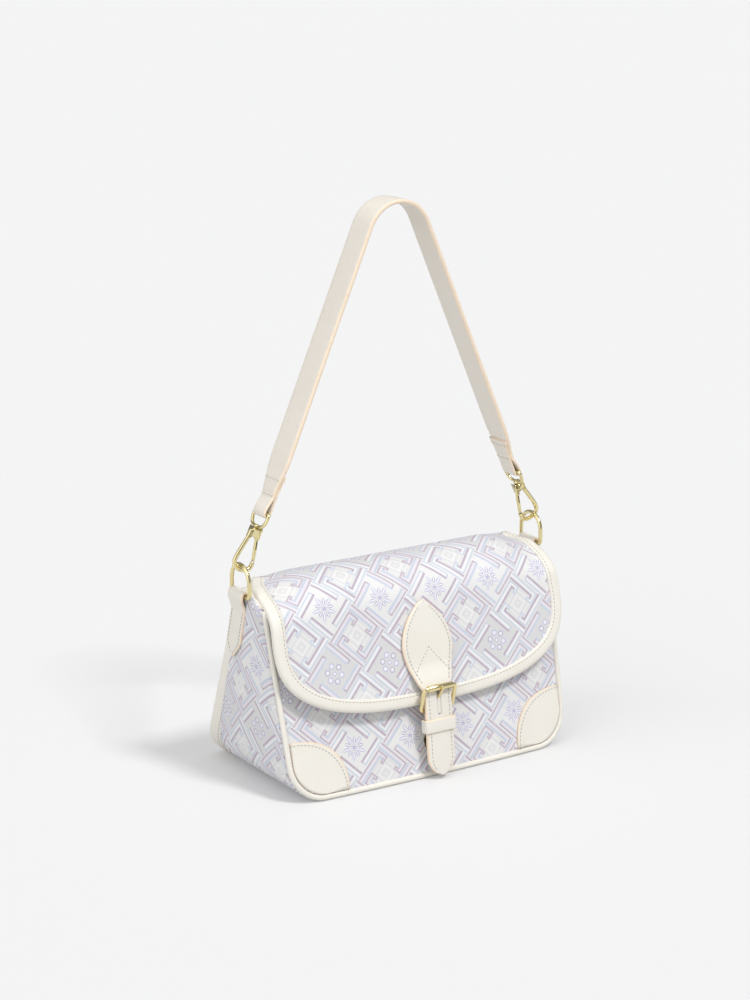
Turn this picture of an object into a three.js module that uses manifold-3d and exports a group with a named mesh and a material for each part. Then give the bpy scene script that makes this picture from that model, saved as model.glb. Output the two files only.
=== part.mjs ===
// A small flap-over handbag: a sewn brocade body with a cream leather back, a curved
// flap with a buckled closure strap, and a shoulder handle on swivel hooks.
// Millimetres. X runs across the front to the right, Y to the back, Z up from the base.
import * as THREE from 'three';
import { mergeVertices } from 'three/addons/utils/BufferGeometryUtils.js';
import Module from 'manifold-3d';

const wasm = await Module();
wasm.setup();

// Driving dimensions: body
const bodyWidth = 240;
const bodyHeight = 144;
const frontDrop = 14;
const baseDepth = 125;
const frontLean = 0.24;
const backLean = 0.41;
const cornerRadius = 27;
const panelThickness = 2.2;
const pipingDiameter = 4;
const backWrap = 18;
const liningThickness = 1.2;
const boardThickness = 1.6;
const facingHeight = 18;
const facingThickness = 1;
const patchWidth = 41;
const patchHeight = 38;
const patchThickness = 1.2;
const layerGap = 0.4;

// Driving dimensions: flap
const flapWidth = 243;
const flapTopWidth = 238;
const flapHingeWidth = 218;
const flapHingeTaper = 7;
const flapDrop = 97.5;
const flapRound = 58.5;
const flapLift = 7.5;
const flapLean = 0.27;
const flapStandOff = 10;
const flapShoulderRadius = 35;
const flapThickness = 1.6;
const flapLiningThickness = 1.2;
const bindingWidth = 9.5;
const bindingLeather = 1;
const sewnEdgeHeight = 14;
const hingeGap = 4;
const hingeBehind = 2;

// Driving dimensions: closure strap and buckle
const strapWidth = 22.5;
const strapThickness = 2.6;
const leafWidth = 42;
const leafRise = 57;
const strapTail = 59;
const strapPoint = 13;
const strapRise = 4.8;
const tailLean = 0.125;
const backingThickness = 2;
const keeperHeight = 9.5;
const keeperLeather = 1.4;
const buckleRise = 8;
const frameWidth = 29.6;
const frameHeight = 20;
const frameWire = 3;
const prongDiameter = 2;
const snapDiameter = 16;
const studHeight = 3;
const socketHeight = 3;

// Driving dimensions: side tabs, rings and hooks
const tabWidth = 19;
const tabLength = 48;
const tabThickness = 2.6;
const tabSlant = 0.2;
const tabPoint = 12;
const ringWidth = 27;
const ringHeight = 25;
const ringWire = 3;
const ringBarDrop = 4;
const hardwareBack = 8;
const runningClearance = 0.35;
const hookWidth = 18;
const hookLength = 35;
const hookWire = 3.2;
const blockHeight = 9;
const blockWidth = 9;
const blockDepth = 6;
const gateWire = 2.4;
const pinDiameter = 1.6;
const eyeLength = 10.5;
const eyeWire = 2.6;

// Driving dimensions: handle
const handleHeight = 408;
const handleFoldSpacing = 210;
const handleArchRadius = 31;
const handleWidth = 22;
const handleEndWidth = 17.4;
const handleThickness = 3;
const handleTurnback = 24;

// Materials, with colours as they look on the bag
const leather = { color: 0xefeae0, roughness: 0.6, metalness: 0 };
const brocade = { color: 0xd6d5de, roughness: 0.55, metalness: 0.1 };
const lining = { color: 0xcfc7ba, roughness: 0.85, metalness: 0 };
const board = { color: 0xb7a58a, roughness: 0.9, metalness: 0 };
const gold = { color: 0xd8c283, roughness: 0.22, metalness: 1 };

const bag = new THREE.Group();

// Adds one named piece to the bag.
function addPiece(name, geometry, finish) {
  const mesh = new THREE.Mesh(geometry, new THREE.MeshStandardMaterial(finish));
  mesh.name = name;
  bag.add(mesh);
}

// Adds a piece made for the right side, and its mirror image on the left.
function addPair(name, geometry, finish) {
  addPiece(`${name}_right`, geometry, finish);
  const mirrored = geometry.clone();
  mirrored.scale(-1, 1, 1);
  const index = mirrored.getIndex();
  for (let i = 0; i < index.count; i += 3) {
    const second = index.getX(i + 1);
    index.setX(i + 1, index.getX(i + 2));
    index.setX(i + 2, second);
  }
  addPiece(`${name}_left`, mirrored, finish);
}

// Turns a closed geometry into a solid that can be cut and joined.
function solidOf(geometry) {
  const bare = geometry.clone();
  bare.deleteAttribute('normal');
  bare.deleteAttribute('uv');
  const merged = mergeVertices(bare, 1e-4);
  return new wasm.Manifold(new wasm.Mesh({
    numProp: 3,
    vertProperties: new Float32Array(merged.attributes.position.array),
    triVerts: new Uint32Array(merged.index.array),
  }));
}

// Turns a solid back into a geometry with shading normals.
function geometryOf(solid) {
  const mesh = solid.getMesh();
  const geometry = new THREE.BufferGeometry();
  geometry.setAttribute('position', new THREE.BufferAttribute(mesh.vertProperties, 3));
  geometry.setIndex(new THREE.BufferAttribute(mesh.triVerts, 1));
  geometry.computeVertexNormals();
  return geometry;
}

function common(first, ...others) {
  return others.reduce((solid, other) => solid.intersect(other), first);
}

function join(first, ...others) {
  return others.reduce((solid, other) => solid.add(other), first);
}

const axisX = new THREE.Vector3(1, 0, 0);
const axisY = new THREE.Vector3(0, 1, 0);
const axisZ = new THREE.Vector3(0, 0, 1);
const reach = 2 * (bodyWidth + flapWidth + baseDepth);

// Extrudes an outline and lays its own axes along the three given directions.
function extruded(shape, depth, across, up, along, curveSegments = 10) {
  const geometry = new THREE.ExtrudeGeometry(shape, { depth, bevelEnabled: false, curveSegments });
  geometry.translate(0, 0, -depth / 2);
  geometry.applyMatrix4(new THREE.Matrix4().makeBasis(across, up, along));
  return solidOf(geometry);
}

// A front outline in X and Z, carried right through the bag from front to back.
function frontCut(shape) {
  return extruded(shape, reach, axisX, axisZ, axisY.clone().negate());
}

// A side outline in Y and Z, carried across the given width.
function sideCut(points, width = reach) {
  return extruded(new THREE.Shape(points), width, axisY, axisZ, axisX);
}

function boxSolid(low, high) {
  const size = new THREE.Vector3().subVectors(high, low);
  const geometry = new THREE.BoxGeometry(size.x, size.y, size.z);
  geometry.translate((low.x + high.x) / 2, (low.y + high.y) / 2, (low.z + high.z) / 2);
  return solidOf(geometry);
}

// A round bar between two points.
function barSolid(start, end, diameter, sides = 12) {
  const along = new THREE.Vector3().subVectors(end, start);
  const geometry = new THREE.CylinderGeometry(diameter / 2, diameter / 2, along.length(), sides);
  const turn = new THREE.Quaternion().setFromUnitVectors(axisY, along.clone().normalize());
  geometry.applyQuaternion(turn);
  geometry.translate((start.x + end.x) / 2, (start.y + end.y) / 2, (start.z + end.z) / 2);
  return solidOf(geometry);
}

// A wire of round section bent along points that lie in one plane.
function bentWire(points, planeNormal, diameter, closed, sides = 8) {
  const count = points.length;
  const positions = [];
  points.forEach((point, i) => {
    const before = points[closed ? (i + count - 1) % count : Math.max(i - 1, 0)];
    const after = points[closed ? (i + 1) % count : Math.min(i + 1, count - 1)];
    const tangent = new THREE.Vector3().subVectors(after, before).normalize();
    const inPlane = new THREE.Vector3().crossVectors(planeNormal, tangent);
    for (let k = 0; k < sides; k += 1) {
      const angle = (2 * Math.PI * k) / sides;
      const place = point.clone();
      place.addScaledVector(inPlane, (Math.cos(angle) * diameter) / 2);
      place.addScaledVector(planeNormal, (Math.sin(angle) * diameter) / 2);
      positions.push(place.x, place.y, place.z);
    }
  });
  const index = [];
  const spans = closed ? count : count - 1;
  for (let i = 0; i < spans; i += 1) {
    const here = i * sides;
    const next = ((i + 1) % count) * sides;
    for (let k = 0; k < sides; k += 1) {
      const turn = (k + 1) % sides;
      index.push(here + k, next + k, next + turn, here + k, next + turn, here + turn);
    }
  }
  if (!closed) {
    const last = (count - 1) * sides;
    for (let k = 1; k < sides - 1; k += 1) {
      index.push(0, k, k + 1, last, last + k + 1, last + k);
    }
  }
  const geometry = new THREE.BufferGeometry();
  geometry.setAttribute('position', new THREE.BufferAttribute(new Float32Array(positions), 3));
  geometry.setIndex(index);
  const solid = solidOf(geometry);
  if (solid.volume() > 0) {
    return solid;
  }
  const flipped = index.slice();
  for (let i = 0; i < flipped.length; i += 3) {
    [flipped[i + 1], flipped[i + 2]] = [index[i + 2], index[i + 1]];
  }
  geometry.setIndex(flipped);
  return solidOf(geometry);
}

// Body planes. The front and back planes pass through the middle of the piping and
// the outer face of the back panel; offsets along their normals are positive outwards.
const bodyHalf = bodyWidth / 2;
const frontHeight = bodyHeight - frontDrop;
const frontFoot = -baseDepth / 2 + 0.5;
const backFoot = baseDepth / 2 + 0.5;
const frontStretch = Math.hypot(1, frontLean);
const backStretch = Math.hypot(1, backLean);
const frontY = (z, offset) => frontFoot + frontLean * z - offset * frontStretch;
const backY = (z, offset) => backFoot - backLean * z + offset * backStretch;
const below = -40;
const above = bodyHeight + 10;

// The body between a plane near the front and a plane near the back, which lean together:
// it ends at the body's top, or just below the height where the two planes meet.
function bodyWedge(frontOffset, backOffset) {
  const meeting = (backY(0, backOffset) - frontY(0, frontOffset)) / (frontLean + backLean);
  const top = Math.min(bodyHeight, meeting - panelThickness);
  return sideCut([
    new THREE.Vector2(frontY(below, frontOffset), below),
    new THREE.Vector2(backY(below, backOffset), below),
    new THREE.Vector2(backY(top, backOffset), top),
    new THREE.Vector2(frontY(top, frontOffset), top),
  ]);
}

function frontLayer(inner, outer) {
  return sideCut([
    new THREE.Vector2(frontY(below, outer), below),
    new THREE.Vector2(frontY(below, inner), below),
    new THREE.Vector2(frontY(above, inner), above),
    new THREE.Vector2(frontY(above, outer), above),
  ]);
}

function backLayer(inner, outer) {
  return sideCut([
    new THREE.Vector2(backY(below, inner), below),
    new THREE.Vector2(backY(below, outer), below),
    new THREE.Vector2(backY(above, outer), above),
    new THREE.Vector2(backY(above, inner), above),
  ]);
}

// The body's front outline: straight sides, round lower corners and an open top.
function bodyOutline(inset, top) {
  const half = bodyHalf - inset;
  const radius = Math.max(cornerRadius - inset, 2);
  const shape = new THREE.Shape();
  shape.moveTo(half, top);
  shape.lineTo(-half, top);
  shape.lineTo(-half, inset + radius);
  shape.absarc(-half + radius, inset + radius, radius, Math.PI, 1.5 * Math.PI, false);
  shape.lineTo(half - radius, inset);
  shape.absarc(half - radius, inset + radius, radius, 1.5 * Math.PI, 2 * Math.PI, false);
  shape.closePath();
  return shape;
}

// Everything below the body's top edge, which slopes down from the back to the front.
function underTop(drop) {
  return sideCut([
    new THREE.Vector2(-reach / 2, below),
    new THREE.Vector2(reach / 2, below),
    new THREE.Vector2(reach / 2, bodyHeight - drop),
    new THREE.Vector2(backY(bodyHeight, -panelThickness), bodyHeight - drop),
    new THREE.Vector2(frontY(frontHeight, 0), frontHeight - drop),
    new THREE.Vector2(-reach / 2, frontHeight - drop),
  ]);
}

const pipingRadius = pipingDiameter / 2;
const frontInset = pipingDiameter + 2 * layerGap;
const panelHalf = panelThickness / 2;

// Front panel, inside the piping
const frontOutline = frontCut(bodyOutline(frontInset, frontHeight));
addPiece('front_panel', geometryOf(common(frontOutline, frontLayer(-panelHalf, panelHalf))), brocade);

// Piping round the front panel's sides and bottom
const pipingInset = pipingRadius + layerGap;
const pipingPath = bodyOutline(pipingInset, frontHeight).getPoints(6).slice(1);
pipingPath.push(new THREE.Vector2(bodyHalf - pipingInset, frontHeight));
const pipingPoints = pipingPath
  .filter((point, i) => i === 0 || point.distanceTo(pipingPath[i - 1]) > 0.01)
  .map((point) => new THREE.Vector3(point.x, frontY(point.y, 0), point.y));
const frontNormal = new THREE.Vector3(0, -1, frontLean).normalize();
addPiece('front_piping', geometryOf(bentWire(pipingPoints, frontNormal, pipingDiameter, false)), leather);

// Corner patches on the front panel, each edged by a quarter of an ellipse
const patchShape = new THREE.Shape();
patchShape.absellipse(bodyHalf - frontInset, frontInset, patchWidth, patchHeight, 0, 2 * Math.PI, false);
const patchLayer = frontLayer(panelHalf + layerGap, panelHalf + layerGap + patchThickness);
addPair('corner_patch', geometryOf(common(frontOutline, frontCut(patchShape), patchLayer)), leather);

// Back panel: a leather tray whose rim wraps round onto the sides and bottom
const backTray = common(frontCut(bodyOutline(0, bodyHeight)), backLayer(-backWrap, 0), underTop(0));
const trayHollow = common(
  frontCut(bodyOutline(panelThickness, above)),
  backLayer(-backWrap - panelThickness, -panelThickness),
);
addPiece('back_panel', geometryOf(backTray.subtract(trayHollow)), leather);

// Gussets and bottom, cut from one strip between the piping and the back panel's rim
const strip = common(
  frontCut(bodyOutline(0, bodyHeight)),
  bodyWedge(-pipingRadius - layerGap, -backWrap - layerGap),
  underTop(0),
).subtract(frontCut(bodyOutline(panelThickness, above)));
const bottomHalf = bodyHalf - cornerRadius;
const sideBlock = boxSolid(
  new THREE.Vector3(bottomHalf + layerGap, -reach, below),
  new THREE.Vector3(reach, reach, above),
);
const bottomBlock = boxSolid(
  new THREE.Vector3(-bottomHalf, -reach, below),
  new THREE.Vector3(bottomHalf, reach, above),
);
addPair('gusset', geometryOf(strip.intersect(sideBlock)), brocade);
addPiece('bottom_panel', geometryOf(strip.intersect(bottomBlock)), brocade);

// Base board on the bottom panel, then the lining bag and the facing round its mouth
const boardLow = panelThickness + layerGap;
const liningInset = boardLow + boardThickness + layerGap;
const frontInside = -panelHalf - layerGap;
const backInside = -panelThickness - layerGap;
const boardSlab = boxSolid(
  new THREE.Vector3(-bottomHalf, -reach, boardLow),
  new THREE.Vector3(bottomHalf, reach, boardLow + boardThickness),
);
const boardMargin = pipingRadius + layerGap;
addPiece('base_board', geometryOf(common(
  boardSlab,
  bodyWedge(frontInside - boardMargin, backInside - boardMargin),
)), board);

// The space inside the lining, grown smaller by the given depth.
function insideBag(depth, top) {
  return common(
    frontCut(bodyOutline(liningInset + depth, top)),
    sideCut([
      new THREE.Vector2(frontY(below, frontInside - depth), below),
      new THREE.Vector2(backY(below, backInside - depth), below),
      new THREE.Vector2(backY(above, backInside - depth), above),
      new THREE.Vector2(frontY(above, frontInside - depth), above),
    ]),
  );
}

const liningBag = insideBag(0, above).subtract(insideBag(liningThickness, above));
addPiece('lining', geometryOf(liningBag.intersect(underTop(layerGap))), lining);
const facingDepth = liningThickness + layerGap;
const facingBand = underTop(layerGap).subtract(underTop(facingHeight));
const facing = insideBag(facingDepth, above).subtract(insideBag(facingDepth + facingThickness, above));
addPiece('mouth_facing', geometryOf(facing.intersect(facingBand)), leather);

// Flap section: a straight front, rounded over the shoulder to the hinge line at the
// back. A height and an offset outwards from the flap's outer face give a place in Y and Z.
const ridgeHeight = bodyHeight + flapLift;
const flapLow = ridgeHeight - flapDrop;
const flapAngle = Math.atan(flapLean);
const flapStretch = Math.hypot(1, flapLean);
const flapFoot = frontY(flapLow, pipingRadius + flapStandOff) - flapLean * flapLow;
const onFlap = (z, offset) => new THREE.Vector2(
  flapFoot + flapLean * z - offset * Math.cos(flapAngle),
  z + offset * Math.sin(flapAngle),
);
const shoulderZ = ridgeHeight - flapShoulderRadius;
const shoulderY = flapFoot + flapLean * shoulderZ + flapShoulderRadius * flapStretch;
const flapMiddle = (flapThickness + layerGap + flapLiningThickness) / 2;
const hingeY = backY(bodyHeight, 0) + hingeBehind;
const hingeZ = shoulderZ + Math.sqrt((flapShoulderRadius - flapMiddle) ** 2 - (hingeY - shoulderY) ** 2);
const hingeAngle = Math.atan2(hingeZ - shoulderZ, hingeY - shoulderY);
const tangentAngle = Math.PI - flapAngle;
const shoulderSteps = 9;

// One face of the flap section, from below the lower edge up to the hinge line or past it.
function flapFace(offset, past = 0) {
  const face = [onFlap(0, offset)];
  const radius = flapShoulderRadius + offset;
  for (let i = 0; i <= shoulderSteps; i += 1) {
    const angle = tangentAngle + ((hingeAngle - past - tangentAngle) * i) / shoulderSteps;
    face.push(new THREE.Vector2(shoulderY + radius * Math.cos(angle), shoulderZ + radius * Math.sin(angle)));
  }
  return face;
}

function flapLayer(inner, outer, past = 0) {
  return sideCut([...flapFace(outer, past), ...flapFace(inner, past).reverse()]);
}

// The flap's front outline: a superellipse below its widest line, drawn in to the ridge.
const flapWide = flapLow + flapRound;
const outlinePower = 2.7;
const outlineSteps = 16;

function flapOutline(inset) {
  const half = flapWidth / 2 - inset;
  const topHalf = flapTopWidth / 2 - inset;
  const drop = flapRound - inset;
  const shape = new THREE.Shape();
  shape.moveTo(topHalf, ridgeHeight + flapLift);
  shape.lineTo(-topHalf, ridgeHeight + flapLift);
  shape.lineTo(-topHalf, ridgeHeight);
  for (let i = 0; i <= 2 * outlineSteps; i += 1) {
    const angle = Math.PI + (Math.PI * i) / (2 * outlineSteps);
    const across = Math.cos(angle);
    const down = Math.sin(angle);
    shape.lineTo(
      half * Math.sign(across) * Math.abs(across) ** (2 / outlinePower),
      flapWide - drop * Math.abs(down) ** (2 / outlinePower),
    );
  }
  shape.lineTo(topHalf, ridgeHeight);
  shape.closePath();
  return shape;
}

// Seen from above, the flap narrows to its hinge end so that the hooks pass beside it.
function flapPlan(inset) {
  const wide = flapWidth / 2 - inset;
  const narrow = flapHingeWidth / 2 - inset;
  const side = [
    new THREE.Vector2(wide, -reach / 2),
    new THREE.Vector2(wide, shoulderY - 2 * flapHingeTaper),
    new THREE.Vector2(flapTopWidth / 2 - inset, shoulderY - flapHingeTaper),
    new THREE.Vector2(narrow, shoulderY),
    new THREE.Vector2(narrow, reach / 2),
  ];
  const otherSide = side.map((point) => new THREE.Vector2(-point.x, point.y)).reverse();
  return extruded(new THREE.Shape([...side, ...otherSide]), reach, axisX, axisY, axisZ);
}

const flapCut = (inset) => frontCut(flapOutline(inset)).intersect(flapPlan(inset));

const liningOuter = -flapThickness - layerGap;
const flapInner = liningOuter - flapLiningThickness;
const insideBinding = flapCut(bindingLeather + layerGap);
addPiece('flap_panel', geometryOf(insideBinding.intersect(flapLayer(-flapThickness, 0))), brocade);
addPiece('flap_lining', geometryOf(insideBinding.intersect(flapLayer(flapInner, liningOuter))), lining);

// Binding folded over the flap's edge
const bindingTop = layerGap + bindingLeather;
const bindingRing = flapCut(0).subtract(flapCut(bindingWidth));
const bindingFold = flapCut(bindingLeather);
const binding = bindingRing
  .intersect(flapLayer(flapInner - bindingTop, bindingTop))
  .subtract(bindingFold.intersect(flapLayer(flapInner - layerGap, layerGap, 0.05)));
addPiece('flap_binding', geometryOf(binding), leather);

// The flap's edge sewn down on the back panel, below the hinge line
const sewnTop = hingeZ - hingeGap;
const sewnHalf = flapHingeWidth / 2;
const sewnBand = boxSolid(
  new THREE.Vector3(-sewnHalf, -reach, sewnTop - sewnEdgeHeight),
  new THREE.Vector3(sewnHalf, reach, sewnTop),
);
const sewnLayer = backLayer(layerGap, layerGap + flapThickness);
addPiece('flap_sewn_edge', geometryOf(sewnBand.intersect(sewnLayer)), brocade);

// Closure strap section: flat on the flap at the leaf, then out over the binding and
// hanging in front of the buckle's lower bar.
const neckZ = flapLow + bindingWidth + buckleRise;
const bendZ = flapLow + buckleRise;
const tailTop = onFlap(bendZ, strapRise);
const tailAngle = Math.atan(tailLean);
const onTail = (z, offset) => new THREE.Vector2(
  tailTop.x - (tailTop.y - z) * tailLean - offset * Math.cos(tailAngle),
  z + offset * Math.sin(tailAngle),
);
const leafTop = neckZ + leafRise;
const tipZ = bendZ - strapTail;
const bendSteps = 6;

function strapFace(offset) {
  const face = [onTail(tipZ - strapPoint, offset), onTail(bendZ, offset)];
  for (let i = 1; i <= bendSteps; i += 1) {
    const t = i / bendSteps;
    const ease = t * t * (3 - 2 * t);
    const lift = strapRise + (layerGap - strapRise) * ease;
    face.push(onFlap(bendZ + (neckZ + buckleRise - bendZ) * t, lift + offset));
  }
  face.push(onFlap(shoulderZ + flapShoulderRadius * Math.sin(flapAngle), layerGap + offset));
  face.push(onFlap(leafTop + strapPoint, layerGap + offset));
  return face;
}

// Leaf-shaped upper end narrowing to a plain strap with a pointed tail
const strapHalf = strapWidth / 2;
const leafHalf = leafWidth / 2;
const neckHalf = strapHalf + 1.2;

function strapShape() {
  const shape = new THREE.Shape();
  shape.moveTo(0, tipZ);
  shape.quadraticCurveTo(strapHalf * 0.75, tipZ + strapPoint * 0.25, strapHalf, tipZ + strapPoint);
  shape.lineTo(strapHalf, bendZ);
  shape.lineTo(neckHalf, neckZ);
  shape.bezierCurveTo(
    neckHalf + leafRise * 0.04, neckZ + leafRise * 0.2,
    leafHalf, neckZ + leafRise * 0.34,
    leafHalf, neckZ + leafRise * 0.56,
  );
  shape.bezierCurveTo(
    leafHalf, neckZ + leafRise * 0.76,
    leafHalf * 0.45, neckZ + leafRise * 0.92,
    0, leafTop,
  );
  const right = shape.getPoints(6);
  const left = right.slice(1, -1).reverse().map((point) => new THREE.Vector2(-point.x, point.y));
  return new THREE.Shape([...right, ...left]);
}

// Buckle frame: its upper bar lies in front of the strap and its lower bar behind it.
const frameRadius = frameWire / 2;
const upperBarZ = bendZ + frameWire;
const bendShare = (upperBarZ - bendZ) / (neckZ + buckleRise - bendZ);
const upperEase = bendShare * bendShare * (3 - 2 * bendShare);
const upperLift = strapRise + (layerGap - strapRise) * upperEase;
const upperBar = onFlap(upperBarZ, upperLift + strapThickness + layerGap + 2 * frameRadius);
const lowerBarZ = flapLow - bindingLeather - frameWire;
const lowerBar = onTail(lowerBarZ, -layerGap - frameRadius);
const barLine = new THREE.Vector2().subVectors(upperBar, lowerBar);
const frameUp = new THREE.Vector3(0, barLine.x, barLine.y).normalize();
const frameOut = new THREE.Vector3().crossVectors(axisX, frameUp);
const frameCorner = frameWire * 0.9;
const frameHalfWidth = (frameWidth - frameWire) / 2;
const frameHalfHeight = Math.max(frameHeight - frameWire, barLine.length()) / 2;
const framePath = new THREE.Path();
for (const [sx, sy, turn] of [[1, 1, 0], [-1, 1, 0.5], [-1, -1, 1], [1, -1, 1.5]]) {
  framePath.absarc(
    sx * (frameHalfWidth - frameCorner), sy * (frameHalfHeight - frameCorner),
    frameCorner, turn * Math.PI, (turn + 0.5) * Math.PI, false,
  );
}
const frameCentre = new THREE.Vector3(0, lowerBar.x, lowerBar.y).addScaledVector(frameUp, frameHalfHeight);
const framePoints = framePath.getPoints(4)
  .filter((point, i, all) => i === 0 || point.distanceTo(all[i - 1]) > 0.01)
  .map((point) => frameCentre.clone().addScaledVector(axisX, point.x).addScaledVector(frameUp, point.y));
addPiece('buckle_frame', geometryOf(bentWire(framePoints, frameOut, frameWire, true)), gold);

// Prong: an eye round the lower bar, with its tip resting on the upper bar
const lowerBarPlace = new THREE.Vector3(0, lowerBar.x, lowerBar.y);
const onLowerBar = (x) => lowerBarPlace.clone().setX(x);
const prongOut = frameRadius + layerGap + prongDiameter / 2;
const prongTip = lowerBarPlace.clone()
  .addScaledVector(frameUp, 2 * frameHalfHeight + frameRadius)
  .addScaledVector(frameOut, prongOut);
const prongBoreRadius = frameRadius + runningClearance;
const prongEyeRadius = prongBoreRadius + prongDiameter / 2;
const prongHalf = prongDiameter / 2 + layerGap;
const prongEye = barSolid(onLowerBar(-prongDiameter / 2), onLowerBar(prongDiameter / 2), 2 * prongEyeRadius, 14);
const prongBore = barSolid(onLowerBar(-prongDiameter), onLowerBar(prongDiameter), 2 * prongBoreRadius, 14);
const prongArm = barSolid(onLowerBar(0), prongTip, prongDiameter, 10);
addPiece('buckle_prong', geometryOf(join(prongEye, prongArm).subtract(prongBore)), gold);

// The strap has a slot between the bars that the prong comes through.
const prongSlot = boxSolid(
  new THREE.Vector3(-prongHalf, -reach, lowerBarZ - prongEyeRadius - layerGap),
  new THREE.Vector3(prongHalf, reach, upperBarZ + frameRadius),
);
const strapSheet = sideCut([...strapFace(strapThickness), ...strapFace(0).reverse()]);
const closureStrap = strapSheet.intersect(frontCut(strapShape())).subtract(prongSlot);
addPiece('closure_strap', geometryOf(closureStrap), leather);

// Places a solid made with X across, Y up the strap and Z outwards at a height on the tail.
function ontoTail(solid, z, offset) {
  const place = onTail(z, offset);
  const turned = new THREE.Matrix4().makeRotationX(Math.PI / 2 - tailAngle);
  turned.setPosition(0, place.x, place.y);
  return solid.transform(turned.toArray());
}

function plate(shape, depth, curveSegments = 6) {
  const geometry = new THREE.ExtrudeGeometry(shape, { depth, bevelEnabled: false, curveSegments });
  geometry.translate(0, 0, -depth / 2);
  return solidOf(geometry);
}

function roundedRectangle(width, height, radius, Kind = THREE.Shape) {
  const shape = new Kind();
  const x = width / 2 - radius;
  const y = height / 2 - radius;
  shape.absarc(x, y, radius, 0, Math.PI / 2, false);
  shape.absarc(-x, y, radius, Math.PI / 2, Math.PI, false);
  shape.absarc(-x, -y, radius, Math.PI, 1.5 * Math.PI, false);
  shape.absarc(x, -y, radius, 1.5 * Math.PI, 2 * Math.PI, false);
  shape.closePath();
  return shape;
}

// Backing strap behind the tail, carrying the keeper and the snap
const backingHigh = lowerBarZ - frameRadius - layerGap;
const backingLow = tipZ + strapPoint / 2;
const backingShape = roundedRectangle(strapWidth, backingHigh - backingLow, strapHalf * 0.6);
const eyeRoom = barSolid(onLowerBar(-prongHalf), onLowerBar(prongHalf), 2 * (prongEyeRadius + layerGap), 14);
const backing = ontoTail(
  plate(backingShape, backingThickness),
  (backingHigh + backingLow) / 2,
  -layerGap - backingThickness / 2,
);
addPiece('strap_backing', geometryOf(backing.subtract(eyeRoom)), leather);

// Keeper loop round the strap and its backing
const keeperZ = lowerBarZ - frameWire - keeperHeight * 0.8;
const keeperBack = -2 * layerGap - backingThickness;
const keeperFront = strapThickness + layerGap;
const keeperDepth = keeperFront - keeperBack;
const keeperShape = roundedRectangle(
  strapWidth + 2 * (layerGap + keeperLeather),
  keeperDepth + 2 * keeperLeather,
  keeperLeather,
);
keeperShape.holes.push(roundedRectangle(strapWidth + 2 * layerGap, keeperDepth, keeperLeather / 2, THREE.Path));
const keeperTurn = new THREE.Matrix4().makeRotationX(-Math.PI / 2);
const keeper = plate(keeperShape, keeperHeight).transform(keeperTurn.toArray());
addPiece('keeper_loop', geometryOf(ontoTail(keeper, keeperZ, (keeperFront + keeperBack) / 2)), leather);

// Magnetic snap: stud on the backing, socket on the front panel
function snapDisc(height) {
  const geometry = new THREE.CylinderGeometry(snapDiameter / 2, snapDiameter / 2, height, 24);
  geometry.rotateX(Math.PI / 2);
  return solidOf(geometry);
}

const snapZ = keeperZ - keeperHeight / 2 - keeperLeather - snapDiameter / 2;
const stud = ontoTail(snapDisc(studHeight), snapZ, keeperBack - studHeight / 2);
addPiece('snap_stud', geometryOf(stud), gold);
const socketOffset = panelHalf + layerGap + socketHeight / 2;
const socketTurn = new THREE.Matrix4().makeRotationX(Math.PI / 2 - Math.atan(frontLean));
socketTurn.setPosition(0, frontY(snapZ, socketOffset), snapZ);
addPiece('snap_socket', geometryOf(snapDisc(socketHeight).transform(socketTurn.toArray())), gold);

// Side tab: a tongue on the gusset with a loop on top that holds the ring's bar.
const tabFace = bodyHalf + layerGap;
const tabLoop = ringWire / 2 + runningClearance + tabThickness * 0.8;
const ringX = tabFace + tabLoop;
const ringBarZ = bodyHeight - ringBarDrop;
const ringY = backY(bodyHeight, -hardwareBack);
const loopStart = new THREE.Vector3(ringX, ringY - tabWidth / 2, ringBarZ);
const loopEnd = new THREE.Vector3(ringX, ringY + tabWidth / 2, ringBarZ);
const boreStart = new THREE.Vector3(ringX, ringY - tabWidth, ringBarZ);
const boreEnd = new THREE.Vector3(ringX, ringY + tabWidth, ringBarZ);
const tongueLow = ringBarZ - tabLength;
const tongueShift = (z) => ringY + tabSlant * (ringBarZ - z);
const tongueShape = new THREE.Shape();
tongueShape.moveTo(ringY - tabWidth / 2, ringBarZ);
tongueShape.lineTo(tongueShift(tongueLow + tabPoint) - tabWidth / 2, tongueLow + tabPoint);
tongueShape.quadraticCurveTo(
  tongueShift(tongueLow) - tabWidth * 0.35, tongueLow + tabPoint * 0.2,
  tongueShift(tongueLow), tongueLow,
);
tongueShape.quadraticCurveTo(
  tongueShift(tongueLow) + tabWidth * 0.35, tongueLow + tabPoint * 0.2,
  tongueShift(tongueLow + tabPoint) + tabWidth / 2, tongueLow + tabPoint,
);
tongueShape.lineTo(ringY + tabWidth / 2, ringBarZ);
tongueShape.closePath();
const tongueBlock = boxSolid(
  new THREE.Vector3(tabFace, -reach, below),
  new THREE.Vector3(tabFace + tabThickness, reach, above),
);
const tongue = extruded(tongueShape, reach, axisY, axisZ, axisX, 5).intersect(tongueBlock);
const tab = join(tongue, barSolid(loopStart, loopEnd, 2 * tabLoop, 16))
  .subtract(barSolid(boreStart, boreEnd, ringWire + 2 * runningClearance, 16));
addPair('side_tab', geometryOf(tab), leather);

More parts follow.
